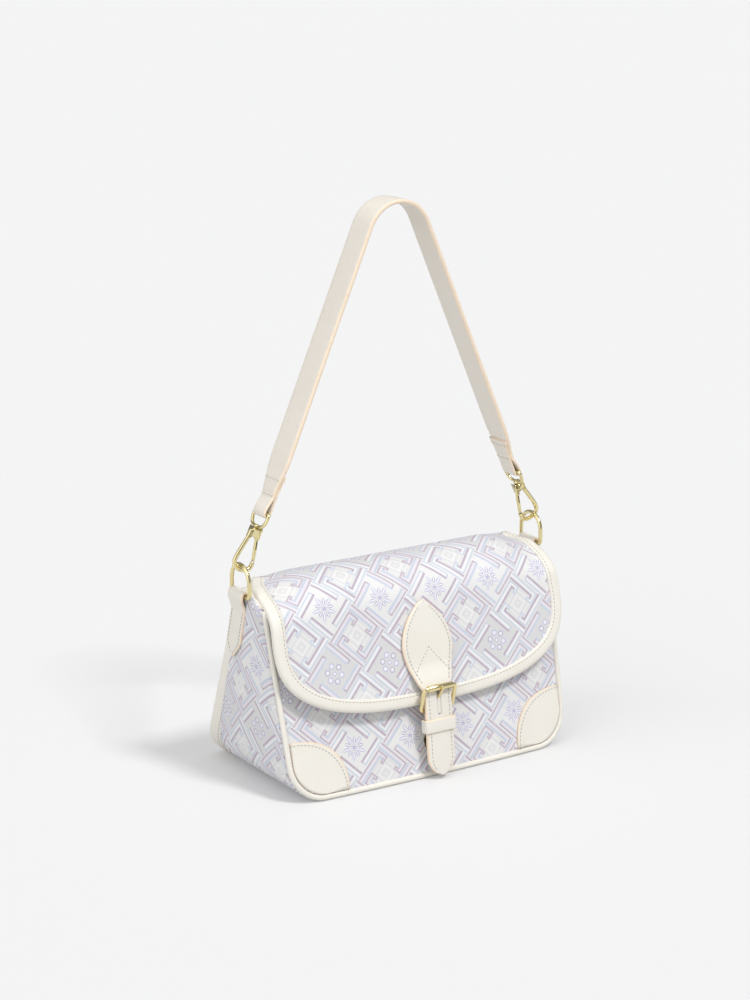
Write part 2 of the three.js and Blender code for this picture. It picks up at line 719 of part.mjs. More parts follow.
// Ring: a bar through the tab's loop, closed by a half circle on top
const ringHalf = (ringWidth - ringWire) / 2;
const ringCentreZ = ringBarZ + ringHeight - ringWire - ringHalf;
const ringCorner = ringWire;
const ringPath = new THREE.Path();
ringPath.absarc(0, ringCentreZ, ringHalf, 0, Math.PI, false);
ringPath.absarc(-ringHalf + ringCorner, ringBarZ + ringCorner, ringCorner, Math.PI, 1.5 * Math.PI, false);
ringPath.absarc(ringHalf - ringCorner, ringBarZ + ringCorner, ringCorner, 1.5 * Math.PI, 2 * Math.PI, false);
const ringPoints = ringPath.getPoints(6)
  .map((point) => new THREE.Vector3(ringX, ringY + point.x, point.y))
  .filter((point, i, all) => i === 0 || point.distanceTo(all[i - 1]) > 0.01);
addPair('ring', geometryOf(bentWire(ringPoints, axisX, ringWire, true)), gold);

// The hook hangs from the strap's fold to the ring: its axis leans in from ring to fold.
const hookSum = hookLength + eyeLength;
const foldX = handleFoldSpacing / 2;
const hookLean = Math.asin((ringX - foldX) / hookSum);
const wireSpacing = (ringWire / 2 + hookWire / 2 + runningClearance) / Math.cos(hookLean);
const bowZ = ringCentreZ + ringHalf - wireSpacing;
const hookAxis = new THREE.Vector3(-Math.sin(hookLean), 0, Math.cos(hookLean));
const hookAcross = new THREE.Vector3(-Math.cos(hookLean), 0, -Math.sin(hookLean));
const bow = new THREE.Vector3(ringX, ringY, bowZ);
const onHook = (across, up, out = 0) => bow.clone()
  .addScaledVector(hookAcross, across)
  .addScaledVector(hookAxis, up)
  .addScaledVector(axisY, out);

// A box in the hook's own directions: across, up along its axis and out of its plane.
function hookBox(acrossLow, acrossHigh, upLow, upHigh, depth) {
  const geometry = new THREE.BoxGeometry(acrossHigh - acrossLow, upHigh - upLow, depth);
  geometry.translate((acrossLow + acrossHigh) / 2, (upLow + upHigh) / 2, 0);
  const out = new THREE.Vector3().crossVectors(hookAcross, hookAxis);
  geometry.applyMatrix4(new THREE.Matrix4().makeBasis(hookAcross, hookAxis, out).setPosition(bow));
  return solidOf(geometry);
}

const hookTop = hookLength - hookWire / 2;
const blockLow = hookTop - blockHeight;
const hookHalf = (hookWidth - hookWire) / 2;
const bowCorner = hookHalf * 0.55;
const noseUp = hookLength * 0.22;
const spineTop = -blockWidth / 2 + hookWire / 2;

// Spine, bow and nose as one bent wire, from inside the block down and round to the nose
const hookPath = new THREE.Path();
hookPath.moveTo(spineTop, blockLow + blockHeight / 2);
hookPath.lineTo(-hookHalf, bowCorner);
hookPath.absarc(-hookHalf + bowCorner, bowCorner, bowCorner, Math.PI, 1.5 * Math.PI, false);
hookPath.absarc(hookHalf - bowCorner, bowCorner, bowCorner, 1.5 * Math.PI, 2 * Math.PI, false);
hookPath.lineTo(hookHalf * 0.97, noseUp);
const hookPoints = hookPath.getPoints(5)
  .filter((point, i, all) => i === 0 || point.distanceTo(all[i - 1]) > 0.01)
  .map((point) => onHook(point.x, point.y));
const hookWireSolid = bentWire(hookPoints, axisY, hookWire, false, 10);

// Block with a slot for the gate, a bore for the gate's pin and one for the swivel stem
const gateTop = blockWidth / 2 - gateWire / 2 - 0.6;
const gatePin = blockLow + blockHeight * 0.3;
const gateSlotHalf = gateWire / 2 + runningClearance;
const stemDiameter = eyeWire;
const slotSolid = hookBox(
  gateTop - gateWire / 2 - runningClearance * 3, blockWidth, blockLow - 1,
  gatePin + gateWire / 2 + runningClearance * 3, 2 * gateSlotHalf,
);
const stemBore = barSolid(
  onHook(0, hookTop - blockHeight * 0.5),
  onHook(0, hookTop + eyeLength),
  stemDiameter + 2 * runningClearance,
);
const pinBore = barSolid(
  onHook(gateTop, gatePin, -blockDepth),
  onHook(gateTop, gatePin, blockDepth),
  pinDiameter + 2 * runningClearance,
);
const block = hookBox(-blockWidth / 2, blockWidth / 2, blockLow, hookTop, blockDepth);
addPair('hook', geometryOf(join(block, hookWireSolid).subtract(join(slotSolid, stemBore, pinBore))), gold);

// Gate pin and sprung gate: the gate closes the hook from the block down to the nose
const gatePinLength = blockDepth - 2 * layerGap;
addPair('gate_pin', geometryOf(barSolid(
  onHook(gateTop, gatePin, -gatePinLength / 2),
  onHook(gateTop, gatePin, gatePinLength / 2),
  pinDiameter,
)), gold);
const gateEnd = noseUp + layerGap + gateWire * 0.1;
const gateKnuckle = barSolid(
  onHook(gateTop, gatePin, -gateWire / 2),
  onHook(gateTop, gatePin, gateWire / 2),
  gateWire + pinDiameter,
);
const gateArm = barSolid(onHook(gateTop, gatePin), onHook(hookHalf * 0.97, gateEnd), gateWire, 10);
const gateBore = barSolid(
  onHook(gateTop, gatePin, -blockDepth),
  onHook(gateTop, gatePin, blockDepth),
  pinDiameter + 2 * runningClearance,
);
addPair('gate', geometryOf(join(gateKnuckle, gateArm).subtract(gateBore)), gold);

// Swivel eye: a stem in the block and a loop whose bar carries the strap's fold
const eyeBarUp = hookTop + eyeLength - eyeWire / 2;
const eyeBaseUp = hookTop + layerGap + eyeWire / 2;
const eyeCorner = eyeWire * 0.8;
const eyeHalf = handleEndWidth / 2 + eyeCorner + layerGap;
const eyePath = new THREE.Path();
eyePath.moveTo(-eyeHalf, eyeBarUp - eyeCorner);
eyePath.quadraticCurveTo(-eyeHalf, eyeBaseUp, -stemDiameter, eyeBaseUp);
eyePath.lineTo(stemDiameter, eyeBaseUp);
eyePath.quadraticCurveTo(eyeHalf, eyeBaseUp, eyeHalf, eyeBarUp - eyeCorner);
eyePath.absarc(eyeHalf - eyeCorner, eyeBarUp - eyeCorner, eyeCorner, 0, Math.PI / 2, false);
eyePath.absarc(-eyeHalf + eyeCorner, eyeBarUp - eyeCorner, eyeCorner, Math.PI / 2, Math.PI, false);
const eyePoints = eyePath.getPoints(5)
  .filter((point, i, all) => i === 0 || point.distanceTo(all[i - 1]) > 0.01)
  .map((point) => onHook(0, point.y, point.x));
eyePoints.pop();
const stem = barSolid(onHook(0, hookTop - blockHeight * 0.4), onHook(0, eyeBaseUp), stemDiameter);
addPair('swivel_eye', geometryOf(join(bentWire(eyePoints, hookAcross, eyeWire, true), stem)), gold);

// Handle: one strap bent over an arch, each end turned round an eye's bar and sewn down.
const fold = onHook(0, eyeBarUp);
const foldRadius = eyeWire / 2 + runningClearance;
const archZ = handleHeight - handleArchRadius;
const legOffset = foldRadius + handleThickness / 2;
const toFold = Math.hypot(fold.x, archZ - fold.z);
const foldBearing = Math.atan2(fold.z - archZ, fold.x);
const midRadius = handleArchRadius - handleThickness / 2;
const legAngle = foldBearing + Math.acos((midRadius - legOffset) / toFold);
const legNormal = new THREE.Vector2(Math.cos(legAngle), Math.sin(legAngle));
const legDown = new THREE.Vector2(Math.sin(legAngle), -Math.cos(legAngle));
const foldPoint = new THREE.Vector2(fold.x, fold.z);
const fromFold = (out, up) => foldPoint.clone().addScaledVector(legNormal, out).addScaledVector(legDown, -up);
const outerFace = foldRadius + handleThickness;
const handleOutline = [];
const foldSteps = 8;
const archSteps = 16;

// Right half of the strap's outline, from the top of the arch round the fold and back.
const turnbackEnd = handleTurnback + outerFace;
for (let i = 0; i <= archSteps; i += 1) {
  const angle = Math.PI / 2 + ((legAngle - Math.PI / 2) * i) / archSteps;
  handleOutline.push(new THREE.Vector2(
    handleArchRadius * Math.cos(angle),
    archZ + handleArchRadius * Math.sin(angle),
  ));
}
for (let i = 0; i <= foldSteps; i += 1) {
  const angle = -(Math.PI * i) / foldSteps;
  handleOutline.push(fromFold(outerFace * Math.cos(angle), outerFace * Math.sin(angle)));
}
handleOutline.push(fromFold(-outerFace, turnbackEnd * 0.5));
handleOutline.push(fromFold(foldRadius - handleThickness - layerGap, turnbackEnd));
handleOutline.push(fromFold(foldRadius, turnbackEnd + layerGap));
for (let i = archSteps; i >= 0; i -= 1) {
  const angle = Math.PI / 2 + ((legAngle - Math.PI / 2) * i) / archSteps;
  handleOutline.push(new THREE.Vector2(
    (handleArchRadius - handleThickness) * Math.cos(angle),
    archZ + (handleArchRadius - handleThickness) * Math.sin(angle),
  ));
}
const rightHalf = extruded(new THREE.Shape(handleOutline), handleWidth, axisX, axisZ, axisY.clone().negate());
const handleBore = barSolid(
  new THREE.Vector3(fold.x, -handleWidth, fold.z),
  new THREE.Vector3(fold.x, handleWidth, fold.z),
  2 * foldRadius,
  14,
);

// The strap narrows towards its end, so that the fold fits into the eye.
const taperLow = fold.z + turnbackEnd * 0.4;
const taperTop = fold.z + turnbackEnd;
const taperStep = (handleWidth - handleEndWidth) / 2;
const taperSide = [
  [handleEndWidth / 2, 0],
  [handleEndWidth / 2, taperLow],
  [handleWidth / 2 + taperStep, 2 * taperTop - taperLow],
  [handleWidth / 2 + taperStep, 2 * handleHeight],
];
const taperOutline = [
  ...taperSide.map(([y, z]) => new THREE.Vector2(y, z)),
  ...taperSide.reverse().map(([y, z]) => new THREE.Vector2(-y, z)),
];
const handleHalf = common(rightHalf, sideCut(taperOutline)).subtract(handleBore);
const handleSolid = join(handleHalf, handleHalf.mirror([1, 0, 0])).translate([0, ringY, 0]);
addPiece('handle_strap', geometryOf(handleSolid), leather);

export default bag;
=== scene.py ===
import math

import bmesh
import bpy
import numpy as np
from mathutils import Matrix, Vector


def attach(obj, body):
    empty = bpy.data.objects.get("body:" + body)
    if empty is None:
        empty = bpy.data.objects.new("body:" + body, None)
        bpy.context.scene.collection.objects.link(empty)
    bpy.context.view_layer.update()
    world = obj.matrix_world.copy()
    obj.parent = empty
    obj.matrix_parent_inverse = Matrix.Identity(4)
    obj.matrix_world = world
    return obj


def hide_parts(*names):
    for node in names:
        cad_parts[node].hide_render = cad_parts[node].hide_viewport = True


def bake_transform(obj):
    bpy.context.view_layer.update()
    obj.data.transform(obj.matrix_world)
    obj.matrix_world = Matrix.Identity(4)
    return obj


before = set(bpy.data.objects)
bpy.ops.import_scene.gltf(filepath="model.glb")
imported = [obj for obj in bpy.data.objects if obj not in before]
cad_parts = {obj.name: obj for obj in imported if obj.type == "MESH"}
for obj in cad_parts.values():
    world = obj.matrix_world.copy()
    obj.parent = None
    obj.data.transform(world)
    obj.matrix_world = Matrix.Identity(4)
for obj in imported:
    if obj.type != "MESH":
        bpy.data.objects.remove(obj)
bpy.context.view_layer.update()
scene = bpy.context.scene

# Lengths below are in millimetres and become metres when a mesh is made.
MM = 0.001

# Body
BODY_HALF = 120.0
FRONT_TOP = 134.0
BACK_TOP = 144.0
CORNER = 27.0
FRONT_FOOT = -62.0
FRONT_LEAN = 0.24
BACK_FOOT = 63.0
BACK_LEAN = 0.41
FRONT_BULGE = 4.5
BACK_BULGE = 3.0
SIDE_BULGE = 3.2
TOP_FLARE = 2.5
BASE_TUCK = 2.0
CORNER_DIP = 3.0
PANEL = 2.2
PANEL_INSET = 3.0
PIPING = 4.0
PIPING_INSET = 2.4
PIPING_SINK = 0.4
STRIP_LOW = 0.8
STRIP_TUCK = 1.6
BACK_LEATHER = 1.8
BACK_LIFT = 0.4
BACK_WRAP = 18.0
RIM_STEP = 0.7
RIM_ROUND = 3.4
RIM_LOW = 0.1
PATCH_WIDTH = 41.0
PATCH_HEIGHT = 38.0
PATCH_INSET = 4.8
PATCH_POWER = 0.78
PATCH_FACE = 1.3
PATCH_UNDER = 0.1

# Lining bag and mouth facing
LINING_FLOOR = 7.0
LINING_INSET = 5.2
LINING_THICKNESS = 1.0
FACING_INSET = 6.0
FACING_LOW = 0.86
FACING_SEAM = 0.875
FACING_THICKNESS = 0.9
MOUTH_DROP = 0.6

# Flap
FLAP_LOW = 54.0
FLAP_FOOT = -75.961
FLAP_LEAN = 0.27
FLAP_HALF = 122.0
FLAP_WIDEST = 112.5
FLAP_POWER = 2.7
FLAP_DROOP = 8.0
FLAP_RUNOUT = 40.0
FLAP_THICKNESS = 1.6
FLAP_LINING_TOP = -1.9
FLAP_LINING_UNDER = -3.1
CLOTH_INSET = 2.5
SHOULDER_Y = -8.253
SHOULDER_Z = 116.5
SHOULDER_RADIUS = 35.0
HINGE = math.radians(64.81)
SEWN_LOW = 128.7
SEWN_TOP = 141.0
SEWN_OUT = 2.16
SEWN_HALF = 105.0
SEWN_SEAMS = (2.5, 9.0)
FOLD_PULL = 3.0
BINDING_SEAM = 7.4
BINDING_FACE = 1.45

# Where the woven pattern starts on the front panel and on the flap
FRONT_PATTERN = (-4.0, 13.0)
FLAP_PATTERN = (9.0, 9.0)

# Closure strap
STRAP_HALF = 11.25
STRAP_THICKNESS = 2.6
STRAP_LIFT = 0.4
STRAP_LEAVES = 79.5
LEAF_HALF = 21.0
LEAF_TOP = 125.4
LEAF_WIDEST = 92.5
LEAF_NECK = 65.0
NECK_HALF = 12.0
TAIL_Y = -63.855
TAIL_Z = 63.251
TAIL_LEAN = 0.125
TAIL_TOP = 60.0
TAIL_TIP = 3.0
TAIL_POINT = 13.0
STRAP_SEAM = 2.9
LEAF_SEAM_LOW = 69.5
TAIL_SEAM_TOP = 63.0
CHEVRON_FALL = 16.5
CHEVRON_HALF = 14.0
BACKING_TOP = 58.0
BACKING_OUT = -1.25
BACKING_THICKNESS = 1.9
KEEPER_Z = 39.4
KEEPER_HEIGHT = 9.5
KEEPER_LEATHER = 1.4
KEEPER_GAP = 0.9
KEEPER_HALF_DEPTH = 3.3
KEEPER_CORNER = 1.7
SLIT_CENTRE = (0, -65.5, 56.5)
SLIT_SIZE = (2.9, 14, 19.0)
SLIT_ROUND = 1.2
TONGUE_TOP = 61.0
TONGUE_LOW = 47.6
TONGUE_HALF = 1.25
TONGUE_SINK = 0.45
TONGUE_THICKNESS = 1.0

# Buckle
LOWER_BAR = np.array([0, -63.626, 49.764])
UPPER_BAR = np.array([0, -68.5, 67.7])
BUCKLE_HALF = 13.3
BUCKLE_CORNER = 3.2
BUCKLE_WIRE = 3.0
PRONG_EYE = 2.75
PRONG_EYE_WIRE = 1.8
PRONG_RADIUS = 1.0

# Side tabs and rings
RING_X = 124.33
HARDWARE_Y = -4.686
RING_BAR_Z = 140.0
RING_CENTRE_Z = 150.0
RING_RADIUS = 12.0
RING_CORNER = 3.0
RING_WIRE = 3.0
TAB_HALF = 9.5
TAB_LENGTH = 48.0
TAB_POINT = 12.0
TAB_SLANT = 0.2
TAB_LEATHER = 2.08
TAB_GAP = 0.35
TAB_BACK = 2.0
TAB_REST = 2.2
TAB_SWELL_TOP = 138.0
TAB_SEAM = 2.4

# Hooks and swivel eyes, measured from the hook's bow along its leaning middle line
BOW_Z = 158.189
HOOK_LEAN = math.radians(25.14)
HOOK_WIRE = 3.2
HOOK_HALF = 7.4
HOOK_TOP = 30.6
BOW_RISE = 5.2
BLOCK_LOW = 24.4
BLOCK_WIDTH = 6.8
BLOCK_DEPTH = 5.0
BLOCK_ROUND = 1.1
GATE_RADIUS = 1.2
EYE_WIRE = 2.6
EYE_BASE = HOOK_TOP + 1.7
EYE_BAR = 42.6
EYE_HALF = 9.4
EYE_CORNER = 2.1
EYE_FOOT = 2.6

# Handle
FOLD_X = 106.23
FOLD_Z = 196.75
LEG_NORMAL = (0.9187, 0.3951)
ARCH_Z = 380.0
HANDLE_HALF = 12.0
HANDLE_END_HALF = 7.8
HANDLE_THICKNESS = 3.0
HANDLE_END_THICKNESS = 1.6
HANDLE_PINCH = 0.4
HANDLE_WIDENS = (11.0, 40.0)
HANDLE_PARED = (4.0, 16.0)
HANDLE_SEAM = 1.5
EYE_GAP = 0.2
TURNBACK = 28.0
TURNBACK_RESTS = 12.0
LOWER_SEAM = 13.0
UPPER_SEAM = 24.5
THREAD_LIFT = 0.25

# Photo's camera, in metres
CAMERA_PLACE = (-1.0004, -1.5275, 0.6881)
CAMERA_RIGHT = (0.8391, -0.5439, 0)
CAMERA_UP = (0.1435, 0.2214, 0.9645)
CAMERA_BACK = (-0.5246, -0.8094, 0.2639)
CAMERA_LENS = 95.4

SIDES = ((-1, "left"), (1, "right"))
X_AXIS = np.array([1.0, 0, 0])
Y_AXIS = np.array([0, 1.0, 0])


# Mesh helpers

def place(name, mesh, materials=()):
    for material in materials:
        mesh.materials.append(material)
    piece = bpy.data.objects.new(name, mesh)
    scene.collection.objects.link(piece)
    return piece


def smooth(mesh):
    mesh.polygons.foreach_set("use_smooth", [True] * len(mesh.polygons))


def link(name, vertices, faces, materials, slots=None, uv=None):
    mesh = bpy.data.meshes.new(name)
    mesh.from_pydata([tuple(v) for v in np.asarray(vertices, float) * MM], [], faces)
    piece = place(name, mesh, materials)
    if slots is not None:
        mesh.polygons.foreach_set("material_index", slots)
    if uv is not None:
        layer = mesh.uv_layers.new(name="UVMap")
        corners = np.zeros(len(mesh.loops), int)
        mesh.loops.foreach_get("vertex_index", corners)
        layer.data.foreach_set("uv", (np.asarray(uv, float) * MM)[corners].ravel())
    smooth(mesh)
    mesh.update()
    return piece


def outward(piece):
    work = bmesh.new()
    work.from_mesh(piece.data)
    bmesh.ops.recalc_face_normals(work, faces=work.faces)
    work.to_mesh(piece.data)
    work.free()
    piece.data.update()
    return piece


# Merges doubled points and turns an open shell's faces: the one with the highest score looks the wanted way.
def turned(piece, score, wanted):
    work = bmesh.new()
    work.from_mesh(piece.data)
    bmesh.ops.remove_doubles(work, verts=work.verts, dist=0.01 * MM)
    bmesh.ops.recalc_face_normals(work, faces=work.faces)
    picked = max(work.faces, key=lambda face: score(face.calc_center_median()))
    if picked.normal.dot(wanted(picked.calc_center_median())) < 0:
        bmesh.ops.reverse_faces(work, faces=work.faces)
    work.to_mesh(piece.data)
    work.free()
    return piece


def grid_faces(rows, cols, start=0):
    faces = []
    for i in range(rows - 1):
        for j in range(cols - 1):
            k = start + i * cols + j
            faces.append((k, k + 1, k + cols + 1, k + cols))
    return faces


# Faces between rings of points that follow each other; a closed row of rings has no ends.
def loft_faces(count, ring, closed=False):
    faces = []
    for k in range(count if closed else count - 1):
        here = k * ring
        there = (k + 1) % count * ring
        for j in range(ring):
            after = (j + 1) % ring
            faces.append((here + j, here + after, there + after, there + j))
    if not closed:
        faces.append(tuple(range(ring)))
        faces.append(tuple((count - 1) * ring + j for j in reversed(range(ring))))
    return faces


# A closed thin sheet between two grids of points; its rim and its first column can have own materials.
def sheet(name, outer, inner, uv, materials, under_slot=0, rim_slot=0, edge_slot=0):
    rows, cols = outer.shape[:2]
    count = rows * cols
    top = grid_faces(rows, cols)
    under = [tuple(count + k for k in reversed(face)) for face in top]
    border = list(range(cols))
    border += [i * cols + cols - 1 for i in range(1, rows)]
    border += [(rows - 1) * cols + j for j in range(cols - 2, -1, -1)]
    border += [i * cols for i in range(rows - 2, 0, -1)]
    rim = []
    for a, b in zip(border, border[1:] + border[:1]):
        rim.append((a, count + a, count + b, b))
    slots = [0 if k % (cols - 1) else edge_slot for k in range(len(top))]
    slots += [under_slot] * len(under) + [rim_slot] * len(rim)
    points = np.concatenate([outer.reshape(-1, 3), inner.reshape(-1, 3)])
    flat = np.asarray(uv).reshape(-1, 2)
    return outward(link(name, points, top + under + rim, materials, slots, np.concatenate([flat, flat])))


# A strap along a path: flat faces with a slight crown, rounded painted edges, closed ends.
def ribbon(name, path, normals, across, half, thickness, materials, crown=0.25, edge=0.9, closed=False):
    path = np.asarray(path, float)
    normals = np.asarray(normals, float)
    count = len(path)
    half = np.broadcast_to(np.asarray(half, float), (count,))
    thickness = np.broadcast_to(np.asarray(thickness, float), (count,))
    flat_steps = 9
    edge_steps = 5
    share = np.linspace(-1, 1, flat_steps)
    turn = np.linspace(math.pi / 2, -math.pi / 2, edge_steps + 2)[1:-1]
    is_edge = ([0] * (flat_steps - 1) + [1] * (edge_steps + 1)) * 2
    rows = []
    for k in range(count):
        radius = min(edge, half[k] * 0.6)
        inner = half[k] - radius
        rise = crown * (1 - share**2) + thickness[k] / 2
        a = np.concatenate([share * inner, inner + radius * np.cos(turn)])
        b = np.concatenate([rise, thickness[k] / 2 * np.sin(turn)])
        a = np.concatenate([a, -a])
        b = np.concatenate([b, -b])
        rows.append(path[k] + np.outer(a, across) + np.outer(b, normals[k]))
    slots = is_edge * count if closed else is_edge * (count - 1) + [1, 1]
    faces = loft_faces(count, len(is_edge), closed)
    return outward(link(name, np.concatenate(rows), faces, materials, slots))


# A round wire along a path; its radius may change, and its section's first side lies on the flat axis.
def tube(name, path, radius, materials, flat_axis, closed=False, sides=16):
    path = np.asarray(path, float)
    flat_axis = np.asarray(flat_axis, float)
    count = len(path)
    radius = np.broadcast_to(np.asarray(radius, float), (count,))
    if closed:
        tangent = np.roll(path, -1, 0) - np.roll(path, 1, 0)
    else:
        tangent = np.gradient(path, axis=0)
    tangent = tangent / np.linalg.norm(tangent, axis=1)[:, None]
    side = flat_axis - tangent * (tangent @ flat_axis)[:, None]
    side = side / np.linalg.norm(side, axis=1)[:, None]
    other = np.cross(tangent, side)
    turn = np.linspace(0, 2 * math.pi, sides, endpoint=False)
    rows = []
    for k in range(count):
        section = np.outer(np.cos(turn), side[k]) + np.outer(np.sin(turn), other[k])
        rows.append(path[k] + radius[k] * section)
    return outward(link(name, np.concatenate(rows), loft_faces(count, sides, closed), materials))


# A block with rounded edges in its own directions.
def soft_block(name, centre, axes, size, round_over, materials):
    work = bmesh.new()
    bmesh.ops.create_cube(work, size=1)
    for vertex in work.verts:
        local = np.array(vertex.co) * np.asarray(size)
        vertex.co = Vector((np.asarray(centre) + local @ np.asarray(axes)) * MM)
    bmesh.ops.bevel(
        work, geom=list(work.edges), offset=round_over * MM, segments=4, profile=0.5, affect="EDGES"
    )
    mesh = bpy.data.meshes.new(name)
    work.to_mesh(mesh)
    work.free()
    smooth(mesh)
    return outward(place(name, mesh, materials))


def joined(name, pieces):
    mesh = bpy.data.meshes.new(name)
    work = bmesh.new()
    for piece in pieces:
        work.from_mesh(piece.data)
    work.to_mesh(mesh)
    work.free()
    result = place(name, mesh, pieces[0].data.materials)
    for piece in pieces:
        bpy.data.objects.remove(piece)
    return result


# Applies the piece's modifiers and leaves a plain mesh.
def settled(piece):
    shape = piece.evaluated_get(bpy.context.evaluated_depsgraph_get())
    mesh = bpy.data.meshes.new_from_object(shape)
    piece.modifiers.clear()
    piece.data = mesh
    return piece


def thickened(piece, thickness, rim_slot=0):
    solid = piece.modifiers.new("Thickness", "SOLIDIFY")
    solid.thickness = thickness * MM
    solid.offset = -1
    solid.use_even_offset = True
    solid.material_offset_rim = rim_slot
    return settled(piece)


def smoothstep(low, high, value):
    share = np.clip((np.asarray(value, float) - low) / (high - low), 0, 1)
    return share * share * (3 - 2 * share)


# Points along an arc in a plane
def arc(centre, radius, start, end, steps):
    turn = np.linspace(start, end, steps)
    return [(centre[0] + radius * math.cos(k), centre[1] + radius * math.sin(k)) for k in turn]


# A line through points, taken at even steps of their running measure, then smoothed for some rounds
def eased(points, measure, steps, rounds):
    points = np.array(points)
    even = np.linspace(0, measure[-1], steps)
    line = np.stack([np.interp(even, measure, points[:, k]) for k in (0, 1)], axis=1)
    for _ in range(rounds):
        line[1:-1] = (line[:-2] + 2 * line[1:-1] + line[2:]) / 4
    return line


def running_length(points):
    return np.concatenate([[0], np.cumsum(np.hypot(*np.diff(points, axis=0).T))])


# Shader helpers

def colour(code):
    parts = [int(code[k:k + 2], 16) / 255 for k in (1, 3, 5)]
    linear = [c / 12.92 if c <= 0.04045 else ((c + 0.055) / 1.055) ** 2.4 for c in parts]
    return (*linear, 1.0)


class Tree:
    def __init__(self, tree):
        self.tree = tree

    def put(self, socket, value):
        if isinstance(value, bpy.types.NodeSocket):
            self.tree.links.new(value, socket)
        else:
            socket.default_value = value

    def node(self, kind, sockets=None, **settings):
        made = self.tree.nodes.new(kind)
        for key, value in settings.items():
            setattr(made, key, value)
        for key, value in (sockets or {}).items():
            self.put(made.inputs[key], value)
        return made

    def effect(self, tree, **sockets):
        return self.node("ShaderNodeGroup", sockets, node_tree=tree).outputs

    def math(self, operation, *values):
        made = self.node("ShaderNodeMath", operation=operation)
        for socket, value in zip(made.inputs, values):
            self.put(socket, value)
        return made.outputs[0]

    def plus(self, first, second):
        return self.math("ADD", first, second)

    def minus(self, first, second):
        return self.math("SUBTRACT", first, second)

    def times(self, first, second):
        return self.math("MULTIPLY", first, second)

    def below(self, value, limit):
        return self.math("LESS_THAN", value, limit)

    def odd(self, number):
        return self.math("FLOORED_MODULO", number, 2.0)

    def length(self, x, y):
        return self.math("SQRT", self.plus(self.times(x, x), self.times(y, y)))

    def mix(self, share, first, second):
        made = self.node("ShaderNodeMix", data_type="RGBA")
        self.put(made.inputs[0], share)
        self.put(made.inputs[6], first)
        self.put(made.inputs[7], second)
        return made.outputs[2]

    def noise(self, vector, scale, detail=2.0):
        made = self.node("ShaderNodeTexNoise", {"Vector": vector, "Scale": scale, "Detail": detail})
        return made.outputs[0]

    def split(self, vector):
        parts = self.node("ShaderNodeSeparateXYZ", {"Vector": vector}).outputs
        return parts["X"], parts["Y"]

    def within(self, value, low, high):
        return self.times(self.math("GREATER_THAN", value, low), self.below(value, high))

    def rectangle(self, x, y, x0, x1, y0, y1):
        return self.times(self.within(x, x0, x1), self.within(y, y0, y1))

    def any_of(self, *masks):
        result = masks[0]
        for mask in masks[1:]:
            result = self.math("MAXIMUM", result, mask)
        return result


VECTOR, FLOAT, COLOUR = "NodeSocketVector", "NodeSocketFloat", "NodeSocketColor"


def group(name, inputs, outputs):
    made = bpy.data.node_groups.new(name, "ShaderNodeTree")
    for way, sockets in (("INPUT", inputs), ("OUTPUT", outputs)):
        for label, kind in sockets.items():
            made.interface.new_socket(label, in_out=way, socket_type=kind)
    tree = Tree(made)
    return made, tree, tree.node("NodeGroupInput").outputs, tree.node("NodeGroupOutput").inputs


# Fine leather grain: small soft cells, creases and slow changes of tone
grain_group, t, got, give = group(
    "Leather grain",
    {"Vector": VECTOR, "Scale": FLOAT},
    {"Height": FLOAT, "Tone": FLOAT, "Rough": FLOAT},
)
cells = t.node("ShaderNodeTexVoronoi", {"Vector": got["Vector"], "Scale": got["Scale"]}, feature="SMOOTH_F1")
fine = t.noise(got["Vector"], t.times(got["Scale"], 2.3), 3.0)
slow = t.noise(got["Vector"], 22.0, 3.0)
t.put(give["Height"], t.plus(t.times(cells.outputs["Distance"], 0.75), t.times(fine, 0.45)))
t.put(give["Tone"], t.plus(t.times(slow, 0.7), t.times(fine, 0.3)))
t.put(give["Rough"], t.plus(0.40, t.times(fine, 0.18)))

# Cloth weave: fine ribs in two directions
weave_group, t, got, give = group(
    "Weave", {"Vector": VECTOR, "Pitch": FLOAT}, {"Height": FLOAT, "Tone": FLOAT}
)
rate = t.math("DIVIDE", 2 * math.pi, got["Pitch"])
warp, weft = [t.math("SINE", t.times(along, rate)) for along in t.split(got["Vector"])]
t.put(give["Height"], t.times(warp, weft))
t.put(give["Tone"], t.noise(got["Vector"], 60.0, 4.0))

# One hooked bar of the fret, with a line beside it, in a tile whose sides run from -0.5 to 0.5.
# The tail is the same bar where it reaches into the next tile.
BAR_LOW, BAR_HIGH, BAR_END, OUTLINE = 0.34, 0.475, 0.31, 0.036
HOOK_INNER, HOOK_LOW, HOOK_BACK, HOOK_BACK_TOP = 0.19, 0.18, 0.10, 0.27
LINE_LOW, LINE_HIGH, LINE_TURN, LINE_END = 0.322, 0.376, 0.172, 0.226
TAIL_END = 0.16
hook_group, t, got, give = group(
    "Fret hook",
    {"Vector": VECTOR, "Turn": FLOAT},
    {label: FLOAT for label in ("Bar", "Core", "Line", "Tail bar", "Tail core", "Tail line")},
)
rotated = t.node(
    "ShaderNodeVectorRotate", {"Vector": got["Vector"], "Angle": got["Turn"]}, rotation_type="Z_AXIS"
)
a, b = t.split(rotated.outputs["Vector"])


def hooked(inset):
    high, end = BAR_HIGH - inset, BAR_END - inset
    long_bar = t.rectangle(a, b, -0.5, end, BAR_LOW + inset, high)
    down = t.rectangle(a, b, HOOK_INNER + inset, end, HOOK_LOW + inset, high)
    back = t.rectangle(a, b, HOOK_BACK + inset, end, HOOK_LOW + inset, HOOK_BACK_TOP - inset)
    return t.any_of(long_bar, down, back)


def tail(inset):
    return t.rectangle(a, b, -0.5, TAIL_END - inset, BAR_LOW + inset, BAR_HIGH - inset)


